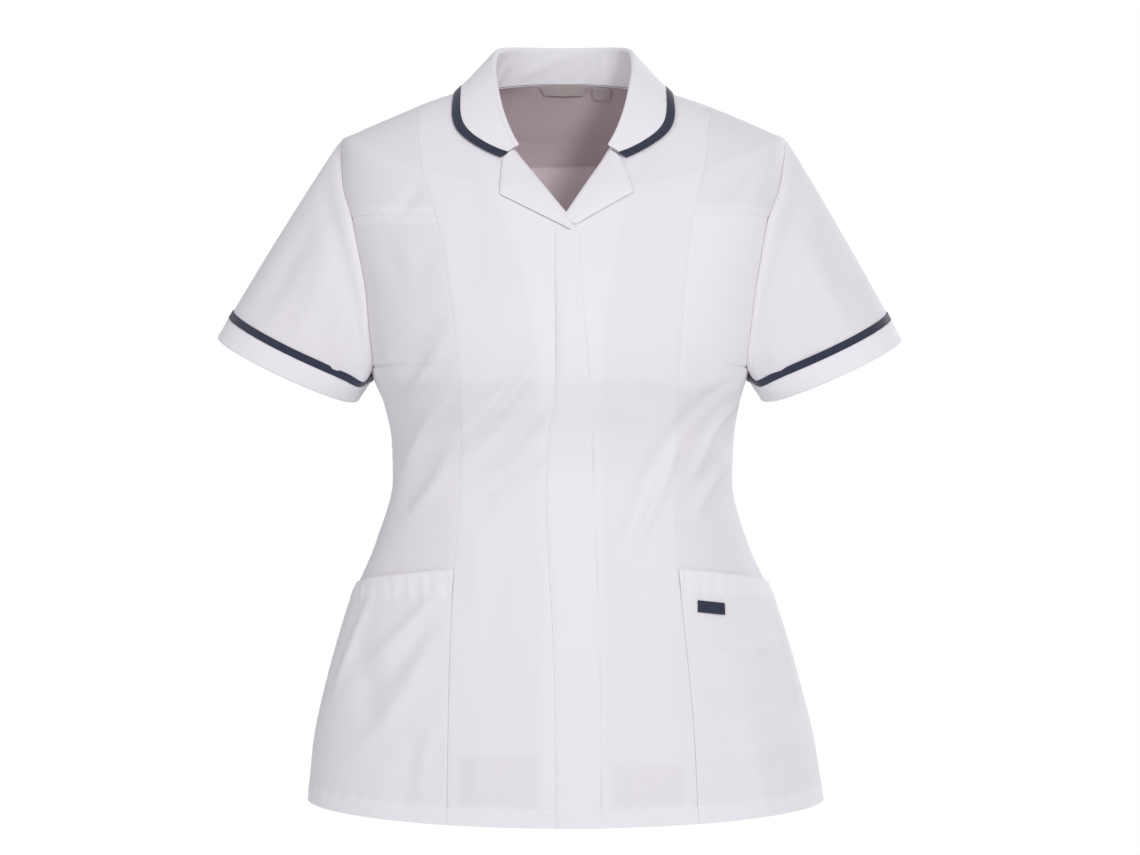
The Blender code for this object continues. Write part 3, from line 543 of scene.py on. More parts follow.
def stitch_tree():
    """Short threads along a curve, one every pitch, as plain geometry."""
    tree = bpy.data.node_groups.new("line_of_stitches", "GeometryNodeTree")
    new_socket = tree.interface.new_socket
    new_socket("Line", in_out="INPUT", socket_type="NodeSocketGeometry")
    for name, value in (("Pitch", 0.003), ("Stitch length", 0.0024), ("Thread", 0.00034)):
        new_socket(name, in_out="INPUT", socket_type="NodeSocketFloat").default_value = value
    new_socket("Material", in_out="INPUT", socket_type="NodeSocketMaterial")
    new_socket("Stitches", in_out="OUTPUT", socket_type="NodeSocketGeometry")
    nodes, links = tree.nodes, tree.links
    given, result = nodes.new("NodeGroupInput"), nodes.new("NodeGroupOutput")
    points = nodes.new("GeometryNodeCurveToPoints")
    points.mode = "LENGTH"
    links.new(given.outputs["Line"], points.inputs["Curve"])
    links.new(given.outputs["Pitch"], points.inputs["Length"])
    thread = nodes.new("GeometryNodeMeshUVSphere")
    thread.inputs["Segments"].default_value = 6
    thread.inputs["Rings"].default_value = 4
    thread.inputs["Radius"].default_value = 0.5
    size = nodes.new("ShaderNodeCombineXYZ")
    links.new(given.outputs["Thread"], size.inputs["X"])
    links.new(given.outputs["Thread"], size.inputs["Y"])
    links.new(given.outputs["Stitch length"], size.inputs["Z"])
    turn = nodes.new("FunctionNodeAlignRotationToVector")
    turn.axis = "Z"
    links.new(points.outputs["Tangent"], turn.inputs["Vector"])
    placed = nodes.new("GeometryNodeInstanceOnPoints")
    links.new(points.outputs["Points"], placed.inputs["Points"])
    links.new(thread.outputs["Mesh"], placed.inputs["Instance"])
    links.new(turn.outputs["Rotation"], placed.inputs["Rotation"])
    links.new(size.outputs["Vector"], placed.inputs["Scale"])
    real = nodes.new("GeometryNodeRealizeInstances")
    links.new(placed.outputs["Instances"], real.inputs["Geometry"])
    dyed = nodes.new("GeometryNodeSetMaterial")
    links.new(real.outputs["Geometry"], dyed.inputs["Geometry"])
    links.new(given.outputs["Material"], dyed.inputs["Material"])
    links.new(dyed.outputs["Geometry"], result.inputs["Stitches"])
    return tree


def sewn(name, lines, material):
    """One piece of sewing thread that runs along several lines of points."""
    path = bpy.data.curves.new(name + "_path", "CURVE")
    path.dimensions = "3D"
    for line in lines:
        spline = path.splines.new("POLY")
        spline.points.add(len(line) - 1)
        spline.points.foreach_set("co", np.column_stack((line * MM, np.ones(len(line)))).ravel())
    guide = bpy.data.objects.new(name + "_path", path)
    bpy.context.scene.collection.objects.link(guide)
    modifier = guide.modifiers.new("stitches", "NODES")
    modifier.node_group = STITCHES
    for socket in STITCHES.interface.items_tree:
        if socket.name == "Material":
            modifier[socket.identifier] = material
    evaluated = guide.evaluated_get(bpy.context.evaluated_depsgraph_get())
    mesh = bpy.data.meshes.new_from_object(evaluated)
    mesh.name = name
    mesh.shade_smooth()
    bpy.data.objects.remove(guide)
    thread = bpy.data.objects.new(name, mesh)
    bpy.context.scene.collection.objects.link(thread)
    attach(thread, "root")
    return thread


def thread_material(name, colour):
    material = bpy.data.materials.new(name)
    material.use_nodes = True
    nodes, links = material.node_tree.nodes, material.node_tree.links
    shader = nodes["Principled BSDF"]
    shader.inputs["Roughness"].default_value = 0.6
    shader.inputs["Sheen Weight"].default_value = 0.2
    place = nodes.new("ShaderNodeTexCoord")
    twist = nodes.new("ShaderNodeTexNoise")
    twist.inputs["Scale"].default_value = 1500
    links.new(place.outputs["Object"], twist.inputs["Vector"])
    tone = nodes.new("ShaderNodeMix")
    tone.data_type = "RGBA"
    tone.inputs["A"].default_value = (*[channel * 0.88 for channel in colour], 1)
    tone.inputs["B"].default_value = (*colour, 1)
    links.new(twist.outputs["Fac"], tone.inputs["Factor"])
    links.new(tone.outputs["Result"], shader.inputs["Base Color"])
    return material


STITCHES = stitch_tree()
WHITE_THREAD = thread_material("white_thread", (0.86, 0.85, 0.89))


def on_cloth(angle, level, lift=LAYER / 2 + 0.05):
    """A line of points lying on the outer face of the body's cloth."""
    return body(np.asarray(angle, float), np.asarray(level, float), lift)


BACK_LINE = curve(((-674, 98), (-529, 86), (-430, 68), (-373, 62), (-300, 67), (-190, 84), (-84, 97)))


def back_seam(side, level, towards):
    """Angles of a panel's edge along a long seam of the back; towards is 1 for the outer panel."""
    angle = 180 - angle_at(BACK_LINE(level), level)
    return SIDES[side] * stepped(angle, level, -towards * SEAM_GAP / 2)


BACK_PANELS = {
    "centre_back": (
        lambda level: back_seam("left", level, -1),
        lambda level: 360 + back_seam("right", level, -1),
        (0.24, 0.63, 0.119),
    ),
    "side_back_right": (
        lambda level: side_edge("right", level, "back"),
        lambda level: back_seam("right", level, 1),
        (0.24, 0.62, 0.096),
    ),
    "side_back_left": (
        lambda level: side_edge("left", level, "back"),
        lambda level: back_seam("left", level, 1),
        (0.24, 0.62, 0.098),
    ),
}
BACK_ALLOWANCE = 11

for name, (first_edge, last_edge, flat) in BACK_PANELS.items():
    cut = Cut(row_levels(0, ROW_YOKE, SIDE, SIDE), first_edge, last_edge, 5.0)
    hem = pressed_allowance(cut.from_low, HEM_DEPTH)
    cut.lift += hem_lift(cut.from_low, cut.from_first, 11)
    cut.lift += seam_lift(cut.from_first, cut.from_low, 12)
    cut.lift += seam_lift(cut.from_last, cut.from_low, 13)
    cut.lift += seam_lift(cut.from_high, cut.from_first, 14)
    cut.turned_in = LAYER * hem
    pressed = pressed_allowance(cut.from_first, BACK_ALLOWANCE) if name == "centre_back" else 0 * hem
    if name == "centre_back":
        pressed = np.maximum(pressed, pressed_allowance(cut.from_last, BACK_ALLOWANCE))
    cut.lift += 0.25 * pressed
    cut.doubled = np.maximum(hem, 0.5 * pressed)
    panel = shell(f"{name}_cloth", *cut.surfaces(), WHITE, cut.texture(), cut.doubled)
    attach(panel, "root")
    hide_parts(name)
    hem_row = np.argmin(np.abs(cut.from_low[:, 0] - HEM_DEPTH + 1))
    hem_thread = sewn(
        f"{name}_hem_stitches",
        [on_cloth(cut.angle[hem_row], cut.level[hem_row], LAYER / 2)],
        WHITE_THREAD,
    )

yoke_levels = row_levels(ROW_YOKE, ROW_NECK, SIDE, SIDE, SEAM_GAP)
yoke_cut = Cut(
    yoke_levels,
    lambda level: side_edge("left", level, "back"),
    lambda level: 360 + side_edge("right", level, "back"),
    5.0,
)
yoke_cut.lift += seam_lift(yoke_cut.from_low, yoke_cut.from_first, 14)
yoke_cut.lift += seam_lift(yoke_cut.from_first, yoke_cut.from_low, 15)
yoke_cut.lift += seam_lift(yoke_cut.from_last, yoke_cut.from_low, 16)
YOKE_ALLOWANCE = 8
yoke_band = pressed_allowance(yoke_cut.from_low, YOKE_ALLOWANCE)
yoke_cut.turned_in = 1.1 * yoke_band
# The whole yoke counts as doubled: its inner face takes the darker painted hollow shade seen down the open neck, and
# its outer face the whiter doubled colour.
yoke_cut.doubled += 1
yoke_panel = shell("yoke_panel", *yoke_cut.surfaces(), WHITE, yoke_cut.texture(), yoke_cut.doubled)
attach(yoke_panel, "root")
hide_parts("back_yoke")
yoke_stitched = np.argmin(np.abs(yoke_cut.from_low[:, 0] - YOKE_ALLOWANCE + 2))
yoke_thread = sewn(
    "yoke_stitches",
    [
        on_cloth(yoke_cut.angle[yoke_stitched], yoke_cut.level[yoke_stitched]),
        on_cloth(yoke_cut.angle[yoke_stitched], yoke_cut.level[yoke_stitched], -LAYER / 2 - 1.15),
    ],
    WHITE_THREAD,
)

# The two middle fronts meet at the closing line under the fly and end above in the open neck. Each is
# one layer over a facing that narrows from the neck to the closing; the facing is not built, and its show-through is
# painted light, whiter cloth over its area.
FLY_LINE = curve(((-674, -5), (-560, -6), (-450, -11), (-390, -14), (-335, -12), (-290, -5), (-130, -6)))
FLY_EDGE = curve(((-674, 35), (-567, 34.5), (-479, 32), (-371, 28.5), (-299, 25.5), (-201, 19), (-123, 15)))
CLOSING_INSET = 13
OPENING_FOOT = -131.5
PRINCESS_LINE = {
    "right": curve((
        (-674, -103), (-529, -101), (-453, -98), (-391, -94), (-339, -92), (-272, -93),
        (-198, -100), (-110, -114), (-25, -134.5), (0, -144),
    )),
    "left": curve((
        (-674, 123), (-595, 119), (-519, 112.5), (-443, 106), (-375, 104), (-298, 105),
        (-211, 110), (-110, 120), (-25, 137), (0, 154),
    )),
}
NECKLINE = {
    "right": curve(((-132, 4), (-66, -43.5), (-43, -56), (0, -77))),
    "left": curve(((-132, 4.5), (-66, 43.5), (-43, 56), (0, 77))),
}
FACING_EDGE = {
    "right": curve(((-681, -20), (-349, -20), (-300, -22), (-246, -27), (-159, -45), (-102, -72), (-70, -84))),
    "left": curve(((-681, 44), (-349, 40), (-256, 39), (-200, 45), (-143, 56), (-92, 68), (-70, 80))),
}
INNER_LAYER_EDGE = {"right": -617, "left": -626}
PRINCESS_ALLOWANCE = 11


def princess_edge(side, level, towards):
    """Angles of a panel's edge along the princess seam; towards is 1 for the outer panel."""
    angle = np.minimum(SIDES[side] * angle_at(PRINCESS_LINE[side](level), level), 90.0)
    return SIDES[side] * stepped(angle, level, towards * SEAM_GAP / 2)


def centre_edge(side, level):
    """Angles of a front's edge along the closing line and up the neckline."""
    closing = angle_at(FLY_LINE(level) + CLOSING_INSET + SIDES[side] * SEAM_GAP / 2, level)
    low, high = np.zeros(level.shape), np.full(level.shape, 90.0)
    for _ in range(30):
        middle = (low + high) / 2
        point = smooth_body(SIDES[side] * middle, level)
        short = SIDES[side] * (point[..., 0] - NECKLINE[side](point[..., 2])) < 0
        low, high = np.where(short, middle, low), np.where(short, high, middle)
    return np.where(smooth_body(0, level)[..., 2] < OPENING_FOOT, closing, SIDES[side] * high)


for side in SIDES:
    levels = row_levels(0, ROW_NECK, PRINCESS, PRINCESS)
    cut = Cut(
        levels,
        lambda level: centre_edge(side, level),
        lambda level: princess_edge(side, level, -1),
    )
    x, z = cut.smooth[..., 0], cut.smooth[..., 2]
    hem = pressed_allowance(cut.from_low, HEM_DEPTH)
    allowance = pressed_allowance(cut.from_last, PRINCESS_ALLOWANCE)
    # Painted light: the unbuilt facing and, near the hem, an inner layer show through the cloth as whiter colour.
    facing = 1 / (1 + np.exp(SIDES[side] * (x - FACING_EDGE[side](z)) / 2.5))
    inner_layer = 0.55 / (1 + np.exp(-(z - INNER_LAYER_EDGE[side]) / 1.5))
    cut.lift += hem_lift(cut.from_low, cut.from_last, 21) + 0.25 * allowance
    cut.lift += seam_lift(cut.from_last, cut.from_low, 22)
    cut.turned_in = LAYER * hem
    cut.doubled = np.maximum.reduce([hem, 0.5 * allowance, facing, inner_layer])
    front = shell(f"front_{side}", *cut.surfaces(), WHITE, cut.texture(), cut.doubled)
    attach(front, "root")
    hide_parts(f"centre_front_{side}")
    hem_row = np.argmin(np.abs(cut.from_low[:, -1] - HEM_DEPTH + 1))
    hem_thread = sewn(
        f"front_hem_stitches_{side}",
        [on_cloth(cut.angle[hem_row], cut.level[hem_row], LAYER / 2)],
        WHITE_THREAD,
    )

# The side fronts run from the princess seam to the side seam and armhole. Each is cut across at chest
# height, and its upper piece reaches to the yoke. On the left the cut is the mouth of the chest pocket.
for side in SIDES:
    def inner_edge(level):
        return princess_edge(side, level, 1)

    def outer_edge(level):
        return side_edge(side, level, "front")

    cut = Cut(row_levels(0, ROW_CHEST, PRINCESS, SIDE), inner_edge, outer_edge)
    hem = pressed_allowance(cut.from_low, HEM_DEPTH)
    cut.lift += hem_lift(cut.from_low, cut.from_first, 31)
    cut.lift += seam_lift(cut.from_first, cut.from_low, 32)
    cut.lift += seam_lift(cut.from_last, cut.from_low, 33, 0.35)
    cut.lift += seam_lift(cut.from_high, cut.from_first, 34)
    cut.turned_in = LAYER * hem
    # Painted light: on the left, the chest bag behind shows through as whiter cloth above its bottom edge.
    painted_bag_light = 1 / (1 + np.exp(-(cut.level + 288) / 1.5)) * (side == "left")
    cut.doubled = np.maximum.reduce([hem, 0.9 * painted_bag_light, 0.6 * pressed_allowance(cut.from_high, 9)])
    side_front = shell(f"side_front_cloth_{side}", *cut.surfaces(), WHITE, cut.texture(), cut.doubled)
    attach(side_front, "root")
    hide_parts(f"side_front_{side}")

    upper = Cut(row_levels(ROW_CHEST, ROW_TIP, PRINCESS, SIDE, SEAM_GAP), inner_edge, outer_edge)
    upper.lift += seam_lift(upper.from_first, upper.from_low + 30, 35)
    upper.lift += seam_lift(upper.from_last, upper.from_low, 36, 0.35)
    upper.lift += seam_lift(upper.from_low, upper.from_first, 34)
    upper.doubled = 0.7 * pressed_allowance(upper.from_low, 9)
    shoulder = shell(f"shoulder_cloth_{side}", *upper.surfaces(), WHITE, upper.texture(), upper.doubled)
    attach(shoulder, "root")
    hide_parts(f"shoulder_front_{side}")
    chest_row = np.argmin(np.abs(upper.from_low[:, 0] - 2.5))
    chest_thread = sewn(
        f"chest_stitches_{side}",
        [on_cloth(upper.angle[chest_row], upper.level[chest_row], LAYER / 2)],
        WHITE_THREAD,
    )

# The chest pocket hangs behind the left side front as a single bag of the same cloth, sewn in at the
# chest seam. Only its lower edge shows, as a soft line through the cloth, painted as whiter cloth on the side front
# above it.
bag_levels = row_levels(ROW_BAG, ROW_CHEST - 1, PRINCESS, SIDE)
bag_share = 4 / 6


def bag_outer_edge(level):
    inner = princess_edge("left", level, 1)
    return inner + (side_edge("left", level, "front") - inner) * bag_share


bag_cut = Cut(bag_levels, lambda level: princess_edge("left", level, 1), bag_outer_edge)
pocket_bag = shell(
    "chest_bag", *bag_cut.surfaces(-1.45), WHITE, bag_cut.texture(), np.ones(bag_cut.angle.shape) * 0.3
)
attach(pocket_bag, "root")
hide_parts("chest_pocket_bag")

# The lower pockets double the side fronts from a slanting mouth down to the hem. The mouth is turned
# down and stitched, and gapes a little. A plain navy tab is caught in the left pocket's inner seam.
POCKET_SEAT = 1.15
POCKET_GAPE = 2.5
MOUTH_BAND = {"right": (27, 18), "left": (22, 20)}
TAB_CORNERS = ((123, -480.5), (147.5, -484), (147.5, -494.5), (123, -491))
TAB_RISE = (0.2, 1.3)


for side in SIDES:
    cut = Cut(
        row_levels(0, ROW_MOUTH, PRINCESS, SIDE),
        lambda level: princess_edge(side, level, 1),
        lambda level: side_edge(side, level, "front"),
    )
    share = cut.from_first / (cut.from_first + cut.from_last)
    band_depth = MOUTH_BAND[side][0] + (MOUTH_BAND[side][1] - MOUTH_BAND[side][0]) * share
    hem, band = pressed_allowance(cut.from_low, HEM_DEPTH), pressed_allowance(cut.from_high, band_depth)
    gape = POCKET_GAPE * np.maximum(0, 1 - cut.from_high / 60) ** 2 * np.sin(np.pi * share)
    crossing = np.exp(-(((cut.from_high - band_depth + 1) / 1.3) ** 2))
    cut.lift += hem_lift(cut.from_low, cut.from_first, 31)
    cut.lift += seam_lift(cut.from_first, cut.from_low, 32)
    cut.lift += seam_lift(cut.from_last, cut.from_low, 33)
    cut.lift += gape + 0.3 * band - 0.35 * crossing
    upright = ripple(cut.from_first + 0.15 * cut.from_high, 11, 43)
    cut.lift += 0.65 * upright * np.exp(-(((cut.from_high - band_depth * 0.6) / 13) ** 2))
    cut.turned_in = 0.4 * np.maximum(hem, band)
    # The pocket reads whiter as doubled cloth, partly real and partly painted light: fully along its turned band and
    # hem, partly over the rest.
    cut.doubled = np.maximum.reduce([hem, 0.9 * band, np.full(hem.shape, 0.45)])
    pocket = shell(f"pocket_{side}", *cut.surfaces(POCKET_SEAT), WHITE, cut.texture(), cut.doubled)
    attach(pocket, "root")
    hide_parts(f"lower_pocket_{side}")
    seams = []
    for distance in (band_depth[-1] - 1, 1.8 + 0 * band_depth[-1]):
        column = np.arange(cut.angle.shape[1])
        row = np.argmin(np.abs(cut.from_high - distance), axis=0)
        lift = (cut.lift + POCKET_SEAT + LAYER / 2)[row, column]
        seams.append(on_cloth(cut.angle[row, column], cut.level[row, column], lift))
    hem_row = np.argmin(np.abs(cut.from_low[:, 0] - HEM_DEPTH + 1))
    hem_lifts = (cut.lift + POCKET_SEAT + LAYER / 2)[hem_row]
    seams.append(on_cloth(cut.angle[hem_row], cut.level[hem_row], hem_lifts))
    pocket_thread = sewn(f"pocket_stitches_{side}", seams, WHITE_THREAD)

TAB_NAVY = woven("navy_tab", (0.022, 0.027, 0.058), 0.25, 0.55, 0.1, 0.4)
top_angle, top_level = place_at(*np.array(TAB_CORNERS[:2], float).T)
low_angle, low_level = place_at(*np.array((TAB_CORNERS[3], TAB_CORNERS[2]), float).T)
across, down = np.linspace(0, 1, 13)[None, :], np.linspace(0, 1, 7)[:, None]
tab_angle = (top_angle[0] + np.diff(top_angle) * across) * (1 - down) + (low_angle[0] + np.diff(low_angle) * across) * down
tab_level = (top_level[0] + np.diff(top_level) * across) * (1 - down) + (low_level[0] + np.diff(low_level) * across) * down
tab_lift = POCKET_SEAT + LAYER + 0.5 + TAB_RISE[0] + (TAB_RISE[1] - TAB_RISE[0]) * across**1.5 * (0.5 + 0.5 * down)
tab_middle, tab_normal = body(tab_angle, tab_level, tab_lift), outward(tab_angle, tab_level)
tab_texture = np.stack(np.broadcast_arrays(across * 24.5, down * 10.5), axis=-1)
tab = shell(
    "navy_tab_left", tab_middle + tab_normal * 0.35, tab_middle - tab_normal * 0.35, TAB_NAVY, tab_texture
)
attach(tab, "root")
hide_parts("pocket_tab")

# The fly is a folded strip of the right front. It covers the zip from the lapels to the hem, and a line
# of stitches and two short bar tacks hold it down on the wearer's right.
FLY_SEAT = 1.45
FLY_ROWS = [row[PRINCESS] for row in ROWS if row[PRINCESS] < -146] + [-146, -131, -121]
fly_steps = np.linalg.norm(np.diff(smooth_body(5, np.array(FLY_ROWS, float)), axis=0), axis=1)
fly_travelled = np.concatenate(([0], np.cumsum(fly_steps)))
fly_levels = np.interp(spaced(fly_travelled[-1]) * fly_travelled[-1], fly_travelled, FLY_ROWS)
fly_cut = Cut(
    (fly_levels, fly_levels),
    lambda level: angle_at(FLY_LINE(level), level),
    lambda level: angle_at(FLY_EDGE(level), level),
    2.5,
)
FLY_STITCH_INSET = 2.2
stitched = np.exp(-(((fly_cut.from_first - FLY_STITCH_INSET) / 1.2) ** 2))
fly_cut.lift += -0.35 * stitched - 0.8 * np.exp(-((fly_cut.from_first / 0.9) ** 2))
fly_cut.lift += 0.3 * ripple(fly_cut.from_low, 13, 51) * np.exp(-fly_cut.from_first / 9)
fly_cut.lift += 0.35 * ripple(fly_cut.from_low, 90, 52) * (fly_cut.from_first / 30)
fly_cut.lift -= 0.3 * np.exp(-((fly_cut.from_last / 0.8) ** 2))
STUD = (3.1, -150.6, 4.5)
from_stud = np.hypot(fly_cut.smooth[..., 0] - STUD[0], fly_cut.smooth[..., 2] - STUD[1])
fly_cut.lift += 0.45 * np.exp(-((from_stud / STUD[2]) ** 6))
fly_cut.lift -= 0.6 / (1 + np.exp(-(fly_cut.level + 127) / 1.5))
fly_strip = shell(
    "fly_strip", *fly_cut.surfaces(FLY_SEAT, 1.2), WHITE, fly_cut.texture(), np.ones(fly_cut.angle.shape)
)
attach(fly_strip, "root")
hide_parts("fly")
stitch_column = np.argmin(np.abs(fly_cut.from_first[0] - FLY_STITCH_INSET))
fly_face = fly_cut.lift + FLY_SEAT + 0.62
fly_lines = [
    on_cloth(fly_cut.angle[:, stitch_column], fly_cut.level[:, stitch_column], fly_face[:, stitch_column])
]
for tack_level in (-600, -607):
    tack_row = np.argmin(np.abs(fly_cut.level[:, 0] - tack_level))
    fly_lines.append(on_cloth(fly_cut.angle[tack_row, 1:6], fly_cut.level[tack_row, 1:6], fly_face[tack_row, 1:6]))
fly_thread = sewn("fly_stitches", fly_lines, WHITE_THREAD)

# The zip lies closed behind the fly: a knitted tape on each front, moulded teeth down the middle, and
# the slider at the top; the slider's pull is not built.
ZIP_SEAT = -2.0
ZIP_HALF_WIDTH = 14
TOOTH_PITCH = 2.0
zip_levels = fly_levels[(fly_levels > -640) & (fly_levels < -150)]
zip_cut = Cut(
    (zip_levels, zip_levels),
    lambda level: angle_at(FLY_LINE(level) + CLOSING_INSET - ZIP_HALF_WIDTH, level),
    lambda level: angle_at(FLY_LINE(level) + CLOSING_INSET + ZIP_HALF_WIDTH, level),
    2.0,
)
TAPE = woven("zip_tape", (0.78, 0.78, 0.8), 0.6, 0.8, 0.1, 0.6)
middle_ridge = np.exp(-(((zip_cut.from_first - zip_cut.from_last) / 4) ** 2))
zip_cut.lift -= 0.3 * middle_ridge
zip_tape = shell("zip_tapes", *zip_cut.surfaces(ZIP_SEAT), TAPE, zip_cut.texture())
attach(zip_tape, "root")
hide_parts("zip")


def moulded(name, colour):
    material = bpy.data.materials.new(name)
    material.use_nodes = True
    nodes, links = material.node_tree.nodes, material.node_tree.links
    shader = nodes["Principled BSDF"]
    shader.inputs["Base Color"].default_value = (*colour, 1)
    shader.inputs["Specular IOR Level"].default_value = 0.5
    place = nodes.new("ShaderNodeTexCoord")
    grain = nodes.new("ShaderNodeTexNoise")
    grain.inputs["Scale"].default_value = 600
    links.new(place.outputs["Object"], grain.inputs["Vector"])
    spread = nodes.new("ShaderNodeMapRange")
    spread.inputs["To Min"].default_value = 0.32
    spread.inputs["To Max"].default_value = 0.48
    links.new(grain.outputs["Fac"], spread.inputs["Value"])
    links.new(spread.outputs["Result"], shader.inputs["Roughness"])
    return material


def teeth_tree():
    """Blocks across a curve, turned to it, one every pitch."""
    tree = bpy.data.node_groups.new("zip_teeth", "GeometryNodeTree")
    new_socket = tree.interface.new_socket
    new_socket("Line", in_out="INPUT", socket_type="NodeSocketGeometry")
    new_socket("Pitch", in_out="INPUT", socket_type="NodeSocketFloat").default_value = TOOTH_PITCH * MM
    new_socket("Material", in_out="INPUT", socket_type="NodeSocketMaterial")
    new_socket("Teeth", in_out="OUTPUT", socket_type="NodeSocketGeometry")
    nodes, links = tree.nodes, tree.links
    given, result = nodes.new("NodeGroupInput"), nodes.new("NodeGroupOutput")
    points = nodes.new("GeometryNodeCurveToPoints")
    points.mode = "LENGTH"
    links.new(given.outputs["Line"], points.inputs["Curve"])
    links.new(given.outputs["Pitch"], points.inputs["Length"])
    block = nodes.new("GeometryNodeMeshCylinder")
    block.inputs["Vertices"].default_value = 8
    block.inputs["Radius"].default_value = 0.7 * MM
    block.inputs["Depth"].default_value = 4.2 * MM
    lying = nodes.new("GeometryNodeTransform")
    lying.inputs["Rotation"].default_value = (0, np.pi / 2, 0)
    links.new(block.outputs["Mesh"], lying.inputs["Geometry"])
    turn = nodes.new("FunctionNodeAlignRotationToVector")
    turn.axis = "Z"
    links.new(points.outputs["Tangent"], turn.inputs["Vector"])
    placed = nodes.new("GeometryNodeInstanceOnPoints")
    links.new(points.outputs["Points"], placed.inputs["Points"])
    links.new(lying.outputs["Geometry"], placed.inputs["Instance"])
    links.new(turn.outputs["Rotation"], placed.inputs["Rotation"])
    real = nodes.new("GeometryNodeRealizeInstances")
    links.new(placed.outputs["Instances"], real.inputs["Geometry"])
    dyed = nodes.new("GeometryNodeSetMaterial")
    links.new(real.outputs["Geometry"], dyed.inputs["Geometry"])
    links.new(given.outputs["Material"], dyed.inputs["Material"])
    links.new(dyed.outputs["Geometry"], result.inputs["Teeth"])
    return tree


ZIP_MOULDED = moulded("moulded_zip", (0.8, 0.8, 0.82))
middle_column = zip_cut.angle.shape[1] // 2
chain = on_cloth(zip_cut.angle[:, middle_column], zip_cut.level[:, middle_column], ZIP_SEAT - 1.0)
path = bpy.data.curves.new("zip_path", "CURVE")
path.dimensions = "3D"
spline = path.splines.new("POLY")
spline.points.add(len(chain) - 1)
spline.points.foreach_set("co", np.column_stack((chain * MM, np.ones(len(chain)))).ravel())
guide = bpy.data.objects.new("zip_path", path)
bpy.context.scene.collection.objects.link(guide)
modifier = guide.modifiers.new("teeth", "NODES")
modifier.node_group = teeth_tree()
for socket in modifier.node_group.interface.items_tree:
    if socket.name == "Material":
        modifier[socket.identifier] = ZIP_MOULDED
mesh = bpy.data.meshes.new_from_object(guide.evaluated_get(bpy.context.evaluated_depsgraph_get()))
bpy.data.objects.remove(guide)
teeth = bpy.data.objects.new("zip_teeth", mesh)
bpy.context.scene.collection.objects.link(teeth)
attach(teeth, "root")

SLIDER_LENGTH = 9
SLIDER_HALF_WIDTHS = (2.6, 3.9, 3.6)
SLIDER_HEIGHT = 1.5
SLIDER_ROUNDING = 0.4
slider_top = np.argmin(np.abs(zip_cut.level[:, 0] + 156))
slider_middle = body(zip_cut.angle[slider_top, middle_column], zip_cut.level[slider_top, middle_column], ZIP_SEAT - 2.7)
slider_out = outward(zip_cut.angle[slider_top, middle_column], zip_cut.level[slider_top, middle_column])
slider_right = unit(np.cross((0, 0, 1), slider_out))
slider_up = np.cross(slider_out, slider_right)
slider_mesh = bpy.data.meshes.new("zip_slider")
shape = bmesh.new()
outline = [
    shape.verts.new((slider_middle + slider_right * side * half + slider_up * rise * SLIDER_LENGTH / 2) * MM)
    for side, rises in ((1, (-1, 0.3, 1)), (-1, (1, 0.3, -1)))
    for rise, half in zip(rises, SLIDER_HALF_WIDTHS if side > 0 else SLIDER_HALF_WIDTHS[::-1])
]
plate = shape.faces.new(outline)
raised = bmesh.ops.extrude_face_region(shape, geom=[plate])["geom"]
lifted = [vertex for vertex in raised if isinstance(vertex, bmesh.types.BMVert)]
bmesh.ops.translate(shape, verts=lifted, vec=Vector(slider_out * -SLIDER_HEIGHT * MM))
bmesh.ops.bevel(shape, geom=list(shape.edges), offset=SLIDER_ROUNDING * MM, segments=3, affect="EDGES")
bmesh.ops.recalc_face_normals(shape, faces=list(shape.faces))
shape.to_mesh(slider_mesh)
shape.free()
slider_mesh.materials.append(ZIP_MOULDED)
slider_mesh.shade_smooth()
slider = bpy.data.objects.new("zip_slider", slider_mesh)
bpy.context.scene.collection.objects.link(slider)
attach(slider, "root")

